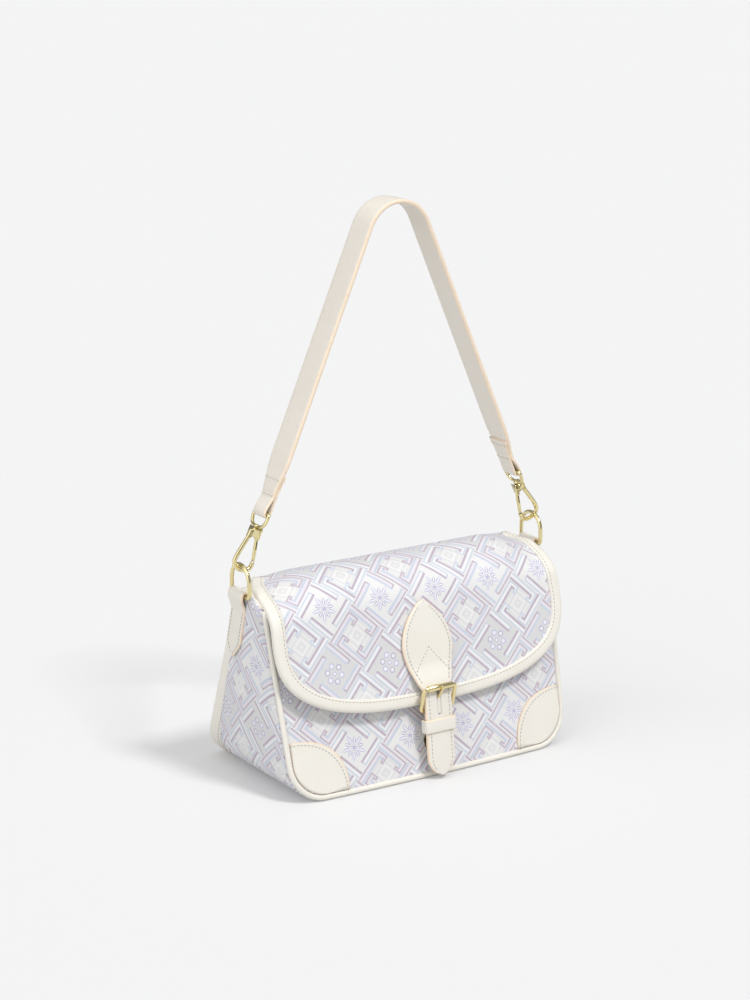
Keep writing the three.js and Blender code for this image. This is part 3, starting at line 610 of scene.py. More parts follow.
t.put(give["Bar"], hooked(0.0))
t.put(give["Core"], hooked(OUTLINE))
line_along = t.rectangle(a, b, -0.5, LINE_END, LINE_LOW, LINE_HIGH)
line_down = t.rectangle(a, b, LINE_TURN, LINE_END, HOOK_BACK_TOP, LINE_HIGH)
t.put(give["Line"], t.any_of(line_along, line_down))
t.put(give["Tail bar"], tail(0.0))
t.put(give["Tail core"], tail(OUTLINE))
t.put(give["Tail line"], t.rectangle(a, b, -0.5, TAIL_END, LINE_LOW, LINE_HIGH))

# Brocade: slanted tiles, flowers and hooked frets in turn; lengths in a tile are shares of its side.
TILE = 0.0325
NESTED_PITCH, NESTED_HALF = 0.125, 0.25
PETAL_START, PETAL_SHORT, PETAL_LONGER, PETAL_HALF = 0.07, 0.25, 0.07, 0.040
STEM_HALF, STEM_END = 0.007, 0.16
DOT_RING, DOT_RADIUS, DOT_CORE, MIDDLE_RADIUS, MIDDLE_CORE = 0.175, 0.068, 0.046, 0.05, 0.035
brocade_group, t, got, give = group("Brocade", {"Vector": VECTOR}, {"Colour": COLOUR, "Raised": FLOAT})
slanted = t.node(
    "ShaderNodeMapping",
    {"Vector": got["Vector"], "Rotation": (0, 0, math.pi / 4), "Scale": (1 / TILE, 1 / TILE, 1)},
    vector_type="POINT",
)
p, q = t.split(slanted.outputs["Vector"])
column, row = t.math("FLOOR", p), t.math("FLOOR", q)
a = t.minus(t.minus(p, column), 0.5)
b = t.minus(t.minus(q, row), 0.5)
is_fret = t.odd(t.plus(column, row))
is_flower = t.minus(1.0, is_fret)
level = t.math("FLOOR", t.times(t.minus(row, column), 0.5))
swapped = t.odd(column)
is_blossom = t.minus(1.0, t.odd(level))
local = t.node("ShaderNodeCombineXYZ", {"X": a, "Y": b}).outputs[0]
hooks = [t.effect(hook_group, Vector=local, Turn=quarter * math.pi / 2) for quarter in range(4)]


# A part of the fret: hooked bars in the fret tiles and their tails in the flower tiles
def fret_part(label):
    whole = t.times(t.any_of(*[hook[label] for hook in hooks]), is_fret)
    tails = t.times(t.any_of(*[hook["Tail " + label.lower()] for hook in hooks]), is_flower)
    return t.any_of(whole, tails)


bar, core, bar_line = fret_part("Bar"), fret_part("Core"), fret_part("Line")
nested = t.math("MAXIMUM", t.math("ABSOLUTE", a), t.math("ABSOLUTE", b))
nested_turn = t.math("COSINE", t.times(nested, 2 * math.pi / NESTED_PITCH))
nested_wave = t.plus(0.5, t.times(nested_turn, 0.5))
middle = t.times(t.rectangle(a, b, -NESTED_HALF, NESTED_HALF, -NESTED_HALF, NESTED_HALF), is_fret)
radius = t.length(a, b)
bearing = t.math("ARCTAN2", b, a)


# Sectors round the flower's middle: the sector's number and the angle from its middle line
def sectors(count):
    share = t.times(t.plus(bearing, math.pi), count / (2 * math.pi))
    number = t.math("FLOOR", share)
    offset = t.minus(t.minus(share, number), 0.5)
    return number, t.times(offset, 2 * math.pi / count)


petal_number, petal_angle = sectors(10)
petal_long = t.odd(petal_number)
petal_reach = t.plus(PETAL_SHORT, t.times(petal_long, PETAL_LONGER))
petal_share = t.math("DIVIDE", t.minus(radius, PETAL_START), t.minus(petal_reach, PETAL_START))
petal_width = t.times(t.math("SINE", t.times(petal_share, math.pi)), PETAL_HALF)
petal_side = t.math("ABSOLUTE", t.times(radius, t.math("SINE", petal_angle)))
petal = t.times(t.within(petal_share, 0.0, 1.0), t.below(petal_side, petal_width))
petal_core = t.below(petal_side, t.times(petal_width, 0.38))
stem = t.times(t.below(petal_side, STEM_HALF), t.below(radius, STEM_END))
on_sprig = t.times(is_flower, t.minus(1.0, is_blossom))
sprig = t.times(t.any_of(petal, stem), on_sprig)
on_blossom = t.times(is_flower, is_blossom)
dot_number, dot_angle = sectors(6)
dot_x = t.minus(t.times(radius, t.math("COSINE", dot_angle)), DOT_RING)
dot_away = t.length(dot_x, t.times(radius, t.math("SINE", dot_angle)))


# Six round petals about a round middle
def blossom(petal_radius, middle_radius):
    return t.times(t.any_of(t.below(dot_away, petal_radius), t.below(radius, middle_radius)), on_blossom)


dot, dot_core = blossom(DOT_RADIUS, MIDDLE_RADIUS), blossom(DOT_CORE, MIDDLE_CORE)
stretched = t.node("ShaderNodeMapping", {"Vector": got["Vector"], "Scale": (1.0, 0.18, 1.0)})
thread_noise = t.noise(stretched.outputs["Vector"], 1300.0, 2.0)
worn_thread = t.plus(0.45, t.times(thread_noise, 0.9))
shimmer = t.noise(got["Vector"], 900.0, 2.0)
drift = t.noise(got["Vector"], 14.0, 1.0)
pearl, silver, white = colour("#E6E5E4"), colour("#D3D2D1"), colour("#F1F1F0")
mauve, sky = colour("#B8A8B7"), colour("#C5CEDC")
pale_mauve, pale_sky = colour("#E0DCE2"), colour("#E8E8E9")
lavender, blue = colour("#ADA5C6"), colour("#B7B8D8")
blossom_ground, nested_shade = colour("#CAC9CA"), colour("#C8C3C8")
unevenness = t.plus(t.times(shimmer, 0.35), t.times(drift, 0.35))
nested_line = t.times(middle, t.within(nested_wave, 0.2, 0.4))
woven = t.mix(t.plus(unevenness, t.times(t.minus(thread_noise, 0.4), 0.8)), pearl, silver)
for share, paint in (
    # The sprig tiles' ground is whitened all over: a painted sheen of the satin, not a colour of the cloth
    (t.times(on_sprig, 0.35), white),
    (t.times(on_blossom, 0.45), blossom_ground),
    (t.times(t.times(middle, nested_wave), 0.55), white),
    (t.times(nested_line, 0.45), nested_shade),
    (t.times(sprig, worn_thread), t.mix(petal_core, t.mix(petal_long, lavender, blue), white)),
    (dot, t.mix(t.odd(dot_number), lavender, blue)),
    (t.times(dot_core, 0.8), white),
    (t.times(bar, worn_thread), t.mix(swapped, mauve, sky)),
    (core, t.mix(swapped, pale_mauve, pale_sky)),
    (t.times(bar_line, worn_thread), t.mix(swapped, sky, mauve)),
):
    woven = t.mix(share, woven, paint)
t.put(give["Colour"], woven)
t.put(give["Raised"], t.any_of(bar, bar_line, sprig, dot))

# Wear: patches of rubbed tone and fine scratches on a metal, a painted edge or a thread
wear_group, t, got, give = group(
    "Wear", {"Vector": VECTOR, "Scale": FLOAT}, {"Mask": FLOAT, "Scratch": FLOAT}
)
streak = t.node("ShaderNodeMapping", {"Vector": got["Vector"], "Scale": (1.0, 1.0, 9.0)})
t.put(give["Mask"], t.noise(got["Vector"], got["Scale"], 4.0))
t.put(give["Scratch"], t.noise(streak.outputs["Vector"], t.times(got["Scale"], 6.0), 3.0))


def material(name, base, roughness, metallic=0.0, sheen=0.0):
    made = bpy.data.materials.new(name)
    made.use_nodes = True
    shader = made.node_tree.nodes["Principled BSDF"]
    shader.inputs["Base Color"].default_value = base
    shader.inputs["Roughness"].default_value = roughness
    shader.inputs["Metallic"].default_value = metallic
    shader.inputs["Sheen Weight"].default_value = sheen
    tree = Tree(made.node_tree)
    return made, tree, shader.inputs, tree.node("ShaderNodeTexCoord").outputs


def bump(tree, shader, height, strength, distance):
    made = tree.node("ShaderNodeBump", {"Height": height, "Strength": strength, "Distance": distance})
    tree.put(shader["Normal"], made.outputs["Normal"])


def leather_material(name, base, shade):
    made, tree, shader, places = material(name, base, 0.48)
    grain = tree.effect(grain_group, Vector=places["Object"], Scale=1100.0)
    tree.put(shader["Base Color"], tree.mix(grain["Tone"], base, shade))
    tree.put(shader["Roughness"], grain["Rough"])
    bump(tree, shader, grain["Height"], 0.6, 0.0004)
    return made


def brocade_material(name):
    made, tree, shader, places = material(name, colour("#E6E5E9"), 0.5, sheen=0.12)
    cloth = tree.effect(brocade_group, Vector=places["UV"])
    weave = tree.effect(weave_group, Vector=places["UV"], Pitch=0.0007)
    shade = tree.times(weave["Tone"], 0.16)
    tree.put(shader["Base Color"], tree.mix(shade, cloth["Colour"], colour("#A7A6AE")))
    tree.put(shader["Roughness"], tree.plus(0.42, tree.times(cloth["Raised"], 0.2)))
    height = tree.plus(tree.times(cloth["Raised"], 0.6), tree.times(weave["Height"], 0.3))
    bump(tree, shader, height, 0.3, 0.0004)
    return made


def lining_material(name, base, shade):
    made, tree, shader, places = material(name, base, 0.7, sheen=0.2)
    weave = tree.effect(weave_group, Vector=places["Object"], Pitch=0.0009)
    tree.put(shader["Base Color"], tree.mix(weave["Tone"], base, shade))
    bump(tree, shader, weave["Height"], 0.2, 0.0003)
    return made


def worn_material(name, base, worn, roughness, metallic, spread, scale=90.0):
    made, tree, shader, places = material(name, base, roughness, metallic)
    wear = tree.effect(wear_group, Vector=places["Object"], Scale=scale)
    tree.put(shader["Base Color"], tree.mix(wear["Mask"], base, worn))
    tree.put(shader["Roughness"], tree.plus(roughness, tree.times(wear["Scratch"], spread)))
    bump(tree, shader, wear["Scratch"], 0.05, 0.0002)
    return made


leather = leather_material("cream_leather", colour("#ECE9E1"), colour("#E0DBD0"))
strap_leather = leather_material("strap_leather", colour("#E8E2D8"), colour("#DDD6CA"))
brocade = brocade_material("fret_brocade")
lining_cloth = lining_material("lining_cloth", colour("#DDD5C6"), colour("#C8BEAC"))
painted_edge = worn_material("painted_edge", colour("#F5E5D1"), colour("#EAD4B9"), 0.42, 0.0, 0.2, 400.0)
gold = worn_material("pale_gold", colour("#EDE2B4"), colour("#DFCE97"), 0.12, 1.0, 0.1)
# Dark metal laid on the gate's faces as painted shade of its slot
slot_shade = worn_material("slot_shade", colour("#5A4A2A"), colour("#473A20"), 0.45, 0.6, 0.2)
thread = worn_material("thread", colour("#BEB8AC"), colour("#AAA396"), 0.6, 0.0, 0.2, 2500.0)
board_face = worn_material("board", colour("#9C8B72"), colour("#7F705A"), 0.8, 0.0, 0.1, 300.0)
leather_pair = [leather, painted_edge]
strap_pair = [strap_leather, painted_edge]

stitch_rows = {}


# Remembers a row of stitches on a body: points and the surface's direction at each.
def stitch(body, points, normals):
    normals = np.broadcast_to(np.asarray(normals, float), np.shape(points))
    stitch_rows.setdefault(body, []).append((np.asarray(points, float), normals))


def finish_piece(piece, body, slot, *nodes):
    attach(piece, body)
    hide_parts(*nodes)


# Body: planes, bulges and the outline of the front and the back

FRONT_NORMAL = np.array([0, -1, FRONT_LEAN]) / math.hypot(1, FRONT_LEAN)
BACK_NORMAL = np.array([0, 1, BACK_LEAN]) / math.hypot(1, BACK_LEAN)
OUTLINE_SIDE, OUTLINE_TURN, OUTLINE_BASE = 22, 12, 44


def front_y(z):
    return FRONT_FOOT + FRONT_LEAN * z


def back_y(z):
    return BACK_FOOT - BACK_LEAN * z


def crown_across(x):
    return np.clip(1 - (np.asarray(x) / BODY_HALF) ** 2, 0, 1)


def front_swell(x, z):
    return FRONT_BULGE * crown_across(x) * np.interp(z, [0, 30, 70, FRONT_TOP], [0.75, 1.0, 0.8, 0.3])


def back_swell(x, z):
    return BACK_BULGE * crown_across(x) * np.sin(np.pi * np.clip(z / BACK_TOP, 0, 1))


def on_front(x, z, out=0.0):
    x, z = np.broadcast_arrays(np.asarray(x, float), np.asarray(z, float))
    return np.stack([x, front_y(z) - front_swell(x, z), z], axis=-1) + FRONT_NORMAL * out


def on_back(x, z, out=0.0):
    x, z = np.broadcast_arrays(np.asarray(x, float), np.asarray(z, float))
    return np.stack([x, back_y(z) + back_swell(x, z), z], axis=-1) + BACK_NORMAL * out


# The soft sides stand a little wider at the mouth than at the base.
def flare(z):
    return -BASE_TUCK + (TOP_FLARE + BASE_TUCK) * np.clip(np.asarray(z, float) / FRONT_TOP, 0, 1)


def half_width(z, inset):
    radius = CORNER - inset
    rise = np.clip(np.asarray(z, float) - inset, 0, radius)
    round_in = np.sqrt(np.maximum(radius**2 - (radius - rise) ** 2, 0))
    return BODY_HALF + flare(z) - inset - radius + round_in


# Heights of a panel's rows: close together round the lower corners
def panel_rows(inset, top, turn=14, straight=24):
    radius = CORNER - inset
    low = inset + radius * (1 - np.cos(np.linspace(0, math.pi / 2, turn)))
    high = np.linspace(CORNER, top, straight + 1)[1:]
    return np.concatenate([low, high])


# The outline from the left top, round the base, to the right top: x, z and the outward direction
def outline(inset, top, side=OUTLINE_SIDE, turn=OUTLINE_TURN, base=OUTLINE_BASE):
    radius = CORNER - inset
    half = BODY_HALF - inset
    fall = np.linspace(top, CORNER, side, endpoint=False)
    angle = np.linspace(0, math.pi / 2, turn, endpoint=False)
    run = np.linspace(0, half - radius, base // 2)
    x = np.concatenate([np.full(side, half), half - radius + radius * np.cos(angle), run[::-1]])
    z = np.concatenate([fall, CORNER - radius * np.sin(angle), np.full(base // 2, inset)])
    nx = np.concatenate([np.ones(side), np.cos(angle), np.zeros(base // 2)])
    nz = np.concatenate([np.zeros(side), -np.sin(angle), -np.ones(base // 2)])
    x = x + flare(z) * np.clip(x / half, 0, 1)
    left = np.stack([-x, z, -nx, nz], axis=1)
    right = np.stack([x, z, nx, nz], axis=1)[::-1][1:]
    return np.concatenate([left, right])


# How far the back's upper corners are rounded down, by the share of the half width
def corner_dip(across):
    return CORNER_DIP * smoothstep(0.8, 1.0, np.abs(across))


# Height of the mouth's edge, from the front (0) to the back (1)
def mouth_top(share, across=1.0):
    share = np.asarray(share, float)
    dip = corner_dip(across) * smoothstep(0.6, 1.0, share)
    return FRONT_TOP + (BACK_TOP - FRONT_TOP) * share**0.6 - dip


# Front panel
rows_z = panel_rows(PANEL_INSET, FRONT_TOP)
columns = np.linspace(-1, 1, 61)
panel_x = np.outer(half_width(rows_z, PANEL_INSET), columns)
panel_z = np.repeat(rows_z[:, None], len(columns), axis=1)
panel_rise = panel_z * math.hypot(1, FRONT_LEAN)
panel_uv = np.stack([panel_x + FRONT_PATTERN[0], panel_rise + FRONT_PATTERN[1]], axis=-1)
front_panel = sheet(
    "front_panel_cloth", on_front(panel_x, panel_z), on_front(panel_x, panel_z, -PANEL), panel_uv, [brocade]
)
finish_piece(front_panel, "bag", "brocade", "front_panel")

# Piping round the front panel
edge = outline(PIPING_INSET, FRONT_TOP, side=30, turn=16, base=60)
piping_path = on_front(edge[:, 0], edge[:, 1], -PIPING_SINK)
front_piping = tube("front_piping_cord", piping_path, PIPING / 2, [leather], FRONT_NORMAL, sides=14)
finish_piece(front_piping, "bag", "leather", "front_piping")

# Gussets and bottom: one long strip between the front's piping and the back's wrap
strip_outer, strip_inner, strip_uv = [], [], []
for share in np.linspace(0, 1, 22):
    top = float(mouth_top(share))
    x, z, nx, nz = outline(0, top).T
    front_edge = front_y(z) - front_swell(x, z) + STRIP_TUCK
    y = (1 - share) * front_edge + share * (back_y(z) - BACK_WRAP / 3)
    swell = SIDE_BULGE * math.sin(math.pi * share) * np.sin(np.pi * np.clip(z / top, 0, 1)) ** 0.7 * nx**2
    outer = np.stack([x + nx * swell, y, np.maximum(z + nz * swell, STRIP_LOW)], axis=1)
    strip_outer.append(outer)
    strip_inner.append(outer - np.stack([nx, np.zeros(len(x)), nz], axis=1) * PANEL)
    strip_uv.append(np.stack([y, running_length(np.stack([x, z], axis=1))], axis=1))
strip_outer, strip_inner, strip_uv = np.array(strip_outer), np.array(strip_inner), np.array(strip_uv)
gusset_columns = OUTLINE_SIDE + OUTLINE_TURN // 2
strip_columns = strip_outer.shape[1]
strip_parts = {
    "gusset_left": slice(0, gusset_columns + 1),
    "bottom_panel": slice(gusset_columns, strip_columns - gusset_columns),
    "gusset_right": slice(strip_columns - gusset_columns - 1, strip_columns),
}
for node, part in strip_parts.items():
    piece = sheet(node + "_cloth", strip_outer[:, part], strip_inner[:, part], strip_uv[:, part], [brocade])
    finish_piece(piece, "bag", "brocade", node)

# Back panel: a tray whose rim turns round the edge onto the gussets and the bottom
rows_z = panel_rows(PANEL_INSET, BACK_TOP)
panel_x = np.outer(half_width(rows_z, PANEL_INSET), columns)
panel_z = rows_z[:, None] - np.outer(smoothstep(100, BACK_TOP, rows_z), corner_dip(columns))
face = on_back(panel_x, panel_z, BACK_LIFT)
rows, cols = face.shape[:2]
rim_keys = [(i, 0) for i in range(rows - 1, -1, -1)] + [(0, j) for j in range(1, cols)]
rim_keys += [(i, cols - 1) for i in range(1, rows)]
rim_start = np.array([face[key] for key in rim_keys])
rim_out = []
for i, j in rim_keys:
    if 0 < j < cols - 1:
        rim_out.append((0.0, 0.0, -1.0))
        continue
    side = -1.0 if j == 0 else 1.0
    lift = min(rows_z[i] - PANEL_INSET, CORNER - PANEL_INSET) / (CORNER - PANEL_INSET) - 1
    rim_out.append((side * math.sqrt(max(1 - lift**2, 0)), 0.0, lift))
rim_out = np.array(rim_out)
rim_reach = rim_out * (PANEL_INSET + RIM_STEP)
rim_rows = [rim_start]
for angle in np.linspace(0, math.pi / 2, 7)[1:]:
    rim_rows.append(rim_start + rim_reach * math.sin(angle) - Y_AXIS * RIM_ROUND * (1 - math.cos(angle)))
for depth in np.linspace(RIM_ROUND, BACK_WRAP, 5)[1:]:
    rim_rows.append(rim_start + rim_reach - Y_AXIS * depth)
rim_rows = np.array(rim_rows)
rim_rows[..., 2] = np.maximum(rim_rows[..., 2], RIM_LOW)
tray_points = np.concatenate([face.reshape(-1, 3), rim_rows.reshape(-1, 3)])
tray_faces = grid_faces(rows, cols) + grid_faces(len(rim_rows), len(rim_keys), rows * cols)
back_panel = link("back_panel_leather", tray_points, tray_faces, leather_pair)
turned(back_panel, lambda point: point.y + point.z, lambda point: Vector(Y_AXIS))
thickened(back_panel, BACK_LEATHER, 1)
finish_piece(back_panel, "bag", "leather", "back_panel")
for upright in (slice(0, rows - 6), slice(len(rim_keys) - rows + 6, None)):
    stitch("bag", rim_rows[-2][upright] + rim_out[upright] * 0.15, rim_out[upright])

# Lining bag and mouth facing: rounded sections stacked from the floor to the sloping mouth
ring_turn = np.linspace(0, 2 * math.pi, 96, endpoint=False)


# One section at a share of the height; a small rounding keeps its corners square.
def inside_ring(share, inset, shrink=1.0, rounding=0.22):
    ring_u = np.sign(np.cos(ring_turn)) * np.abs(np.cos(ring_turn)) ** rounding
    ring_v = np.sign(np.sin(ring_turn)) * np.abs(np.sin(ring_turn)) ** rounding
    depth = (ring_v * shrink + 1) / 2
    z = LINING_FLOOR + share * (mouth_top(depth, ring_u * shrink) - MOUTH_DROP - LINING_FLOOR)
    y = front_y(z) + inset + depth * (back_y(z) - front_y(z) - 2 * inset)
    return np.stack([half_width(z, inset) * ring_u * shrink, y, z], axis=1)


# Stacked sections whose faces look inwards, open at the top; the first can be closed as a floor.
def stacked(name, rings, materials, close_floor):
    faces = loft_faces(len(rings), len(ring_turn))
    del faces[-1 if close_floor else -2:]
    piece = link(name, np.concatenate(rings), faces, materials)
    return turned(piece, lambda point: point.z, lambda point: -Vector((point.x, point.y, 0)))


floor_rings = [inside_ring(0, LINING_INSET, shrink) for shrink in (0.25, 0.5, 0.75, 0.9)]
wall_rings = [inside_ring(share, LINING_INSET) for share in np.linspace(0, 1, 24) ** 1.3]
lining = thickened(stacked("lining_bag", floor_rings + wall_rings, [lining_cloth], True), LINING_THICKNESS)
finish_piece(lining, "bag", "lining", "lining")
facing_rings = [inside_ring(share, FACING_INSET) for share in np.linspace(FACING_LOW, 1, 8)]
for inset, rise, rounding in ((5.2, 0.5, 0.18), (4.0, 0.7, 0.12), (2.6, 0.6, 0.08), (1.2, 0.3, 0.05)):
    facing_rings.append(inside_ring(1.0, inset, rounding=rounding) + np.array([0, 0, rise]))
facing = stacked("mouth_facing_leather", facing_rings, leather_pair, False)
thickened(facing, FACING_THICKNESS, 1)
finish_piece(facing, "bag", "leather", "mouth_facing")
facing_line = inside_ring(FACING_SEAM, FACING_INSET + 0.1)
stitch("bag", np.concatenate([facing_line, facing_line[:1]]), [0, 0, 1])

# Corner patches: leather over the front panel's lower corners
PATCH_STEPS = np.concatenate([[0, 0.035], np.linspace(0.1, 1, 15)])
sewn_radius = CORNER - PATCH_INSET
patch_rows = []
for angle in np.linspace(0, math.pi / 2, 33):
    free = np.array([
        BODY_HALF - PATCH_INSET - PATCH_WIDTH * math.cos(angle) ** PATCH_POWER,
        PATCH_INSET + PATCH_HEIGHT * math.sin(angle) ** PATCH_POWER,
    ])
    sewn = np.array([
        BODY_HALF - CORNER + sewn_radius * math.sin(angle), CORNER - sewn_radius * math.cos(angle),
    ])
    patch_rows.append([(1 - k) * free + k * sewn for k in PATCH_STEPS])
patch_rows = np.array(patch_rows)
patch_z = patch_rows[..., 1]
for side, label in SIDES:
    node = "corner_patch_" + label
    patch_x = side * (patch_rows[..., 0] + flare(patch_z))
    patch = sheet(
        node + "_leather", on_front(patch_x, patch_z, PATCH_FACE), on_front(patch_x, patch_z, PATCH_UNDER),
        patch_rows, leather_pair, rim_slot=1, edge_slot=1,
    )
    finish_piece(patch, "bag", "leather", node)
    stitch("bag", on_front(patch_x[:, 2], patch_z[:, 2], PATCH_FACE + 0.1), FRONT_NORMAL)

# Flap profile in y and z: sewn edge on the back, fold, shoulder arc and the leaning front

shoulder = np.array([SHOULDER_Y, SHOULDER_Z])
sewn_z = np.linspace(SEWN_LOW, SEWN_TOP, 10)
sewn_line = np.stack([back_y(sewn_z) + SEWN_OUT, sewn_z], axis=1)
arc_line = np.array(arc(shoulder, SHOULDER_RADIUS, HINGE, math.pi - math.atan(FLAP_LEAN), 60))
fold_knots = [
    sewn_line[-1],
    sewn_line[-1] + FOLD_PULL * np.array([-0.38, 0.925]),
    arc_line[0] + FOLD_PULL * np.array([math.sin(HINGE), -math.cos(HINGE)]),
    arc_line[0],
]
fold_line = []
for k in np.linspace(0, 1, 12)[1:-1]:
    shares = ((1 - k) ** 3, 3 * (1 - k) ** 2 * k, 3 * (1 - k) * k**2, k**3)
    fold_line.append(sum(share * knot for share, knot in zip(shares, fold_knots)))
front_z = np.linspace(arc_line[-1, 1], FLAP_RUNOUT, 60)[1:]
front_line = np.stack([FLAP_FOOT + FLAP_LEAN * front_z, front_z], axis=1)
profile = np.concatenate([sewn_line, np.array(fold_line), arc_line, front_line])
hinge_index = len(sewn_line) + len(fold_line)
arc_end = hinge_index + len(arc_line) - 1
profile_s = running_length(profile)
profile_s = profile_s - profile_s[hinge_index]
heading = np.gradient(profile, axis=0)
heading = heading / np.linalg.norm(heading, axis=1)[:, None]
profile_out = np.stack([heading[:, 1], -heading[:, 0]], axis=1)


# Distance along the flap from the hinge to a height on its front
def flap_s(z):
    return profile_s[arc_end] + (arc_line[-1, 1] - np.asarray(z, float)) * math.hypot(1, FLAP_LEAN)


# The soft flap's unevenness: a millimetre or so on the front, and side edges that droop at the shoulder
def flap_wave(x, s):
    growth = smoothstep(20, 90, s)
    waves = 0.7 * np.sin(x / 37 + 0.6) * np.sin(s / 31) + 0.5 * np.cos(x / 23 - s / 40)
    at_shoulder = smoothstep(-8, 14, s) * (1 - smoothstep(30, 66, s))
    return growth * waves - FLAP_DROOP * smoothstep(78, 118, np.abs(x)) * at_shoulder


def flap_normal(s):
    s = np.asarray(s, float)
    ny, nz = [np.interp(s, profile_s, profile_out[:, k]) for k in (0, 1)]
    return np.stack([np.zeros_like(ny), ny, nz], axis=-1)


def on_flap(x, s, out=0.0):
    x, s, out = np.broadcast_arrays(np.asarray(x, float), np.asarray(s, float), np.asarray(out, float))
    y, z = [np.interp(s, profile_s, profile[:, k]) for k in (0, 1)]
    lift = out + flap_wave(x, s)
    return np.stack([x, y, z], axis=-1) + lift[..., None] * flap_normal(s)


# The flap's edge in its own flat measures, from the hinge's right end down to the middle
s_widest = float(flap_s(FLAP_WIDEST))
s_low = float(flap_s(FLAP_LOW))
SIDE_S = [-30, 0, 6, 13, 24, 36, 61, s_widest]
SIDE_HALF = [110, 110, 113.5, 117.0, 119.0, 120.0, 121.4, FLAP_HALF]
side_s = np.linspace(0, s_widest, 40, endpoint=False)
side_x = np.interp(side_s, SIDE_S, SIDE_HALF)
side_x[2:-2] = np.convolve(side_x, np.ones(5) / 5, mode="valid")
turn = np.linspace(0, math.pi / 2, 90)
low_x = FLAP_HALF * np.cos(turn) ** (2 / FLAP_POWER)
low_s = s_widest + (s_low - s_widest) * np.sin(turn) ** (2 / FLAP_POWER)
low_x[-1] = 0.0
half_edge = np.stack([np.concatenate([side_x, low_x]), np.concatenate([side_s, low_s])], axis=1)
half_edge = eased(half_edge, running_length(half_edge), 150, 0)
flap_edge = np.concatenate([half_edge, half_edge[::-1][1:] * [-1, 1]])
edge_run = np.gradient(flap_edge, axis=0)
edge_run = edge_run / np.linalg.norm(edge_run, axis=1)[:, None]
edge_in = np.stack([-edge_run[:, 1], edge_run[:, 0]], axis=1)


# Grid over the flap: columns keep their share of the width, rows run from a start to the lower edge.
def flap_grid(start, out, row_count=80, column_count=81):
    points, flat = [], []
    for share in np.sin(np.linspace(-math.pi / 2, math.pi / 2, column_count)):
        corner = math.acos(min(abs(share), 1.0))
        end = s_widest + (s_low - s_widest - CLOTH_INSET) * math.sin(corner) ** (2 / FLAP_POWER)
        column_s = np.linspace(start, end, row_count)
        half = np.interp(column_s, SIDE_S, SIDE_HALF) - CLOTH_INSET
        x = half * abs(share) ** (2 / FLAP_POWER) * math.copysign(1, share)
        points.append(on_flap(x, column_s, out))
        flat.append(np.stack([x + FLAP_PATTERN[0], FLAP_PATTERN[1] - column_s], axis=1))
    return np.array(points), np.array(flat)


sewn_start = float(profile_s[0])
flap_top, flap_uv = flap_grid(sewn_start, 0.0)
flap_under, _ = flap_grid(sewn_start, -FLAP_THICKNESS)
flap_panel = sheet("flap_cloth", flap_top, flap_under, flap_uv, [brocade, lining_cloth], under_slot=1)
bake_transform(flap_panel)
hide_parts("flap_panel", "flap_sewn_edge")
sewn_x = np.linspace(-SEWN_HALF, SEWN_HALF, 60)
for seam in SEWN_SEAMS:
    stitch("bag", on_flap(sewn_x, sewn_start + seam, 0.1), flap_normal(sewn_start + seam))

lining_top, lining_uv = flap_grid(1.0, FLAP_LINING_TOP)
lining_under, _ = flap_grid(1.0, FLAP_LINING_UNDER)
flap_lining = sheet("flap_lining_cloth", lining_top, lining_under, lining_uv, [lining_cloth])
finish_piece(flap_lining, "flap", "lining", "flap_lining")

# Binding folded round the flap's edge: its section runs inwards from the edge and out of the flap.
BINDING_SECTION = np.array([
    (9.5, 0.2), (9.4, 0.9), (8.6, 1.25), (6.0, 1.5), (3.0, 1.45), (1.1, 1.0), (0.25, 0.0), (0.0, -1.6),
    (0.25, -3.2), (1.1, -4.1), (3.0, -4.5), (6.0, -4.5), (8.6, -4.3), (9.4, -4.0), (9.5, -3.2),
])
binding_rows = []
for place_on_edge, inward in zip(flap_edge, edge_in):
    flat = place_on_edge + BINDING_SECTION[:, :1] * inward
    binding_rows.append(on_flap(flat[:, 0], flat[:, 1], BINDING_SECTION[:, 1]))
binding_faces = loft_faces(len(flap_edge), len(BINDING_SECTION))
binding = outward(link("flap_binding_leather", np.concatenate(binding_rows), binding_faces, leather_pair))
finish_piece(binding, "flap", "leather", "flap_binding")
seam_x, seam_s = (flap_edge + edge_in * BINDING_SEAM).T
stitch("flap", on_flap(seam_x, seam_s, BINDING_FACE), flap_normal(seam_s))

# Closure strap: leaf on the flap, then a tail that leaves it

TAIL_OUT = np.array([0, -0.9923, 0.124])
TAIL_UP = np.array([0, 0.124, 0.9923])


def strap_centre(z, out):
    z = np.asarray(z, float)
    flap_side = on_flap(0, flap_s(z), STRAP_LIFT + out)
    tail_side = np.stack([np.zeros_like(z), TAIL_Y - (TAIL_Z - z) * TAIL_LEAN, z], axis=-1) + TAIL_OUT * out
    share = smoothstep(TAIL_TOP - 1, STRAP_LEAVES + 3, z)[..., None]
    return share * flap_side + (1 - share) * tail_side


# Half the strap's width at a height: pointed leaf, neck, plain strap and the rounded tip of the tail
def strap_half(z):
    z = np.asarray(z, float)
    over = np.clip((z - LEAF_WIDEST) / (LEAF_TOP - LEAF_WIDEST), 0, 1)
    leaf = LEAF_HALF * (1 - over**2) ** 0.82
    under = np.clip((LEAF_WIDEST - z) / (LEAF_WIDEST - LEAF_NECK), 0, 1)
    neck = LEAF_HALF - (LEAF_HALF - NECK_HALF) * under**1.5
    low = STRAP_HALF + (NECK_HALF - STRAP_HALF) * smoothstep(LEAF_NECK - 6, LEAF_NECK, z)
    point = np.clip((z - TAIL_TIP) / TAIL_POINT, 0, 1)
    tip = STRAP_HALF * (1 - (1 - point) ** 2) ** 0.62
    half = np.where(z > LEAF_WIDEST, leaf, np.where(z > LEAF_NECK, neck, low))
    return np.maximum(np.where(z < TAIL_TIP + TAIL_POINT, tip, half), 0.35)


def path_normals(path):
    run = np.gradient(path, axis=0)
    run = run / np.linalg.norm(run, axis=1)[:, None]
    return np.stack([np.zeros(len(path)), run[:, 2], -run[:, 1]], axis=1)


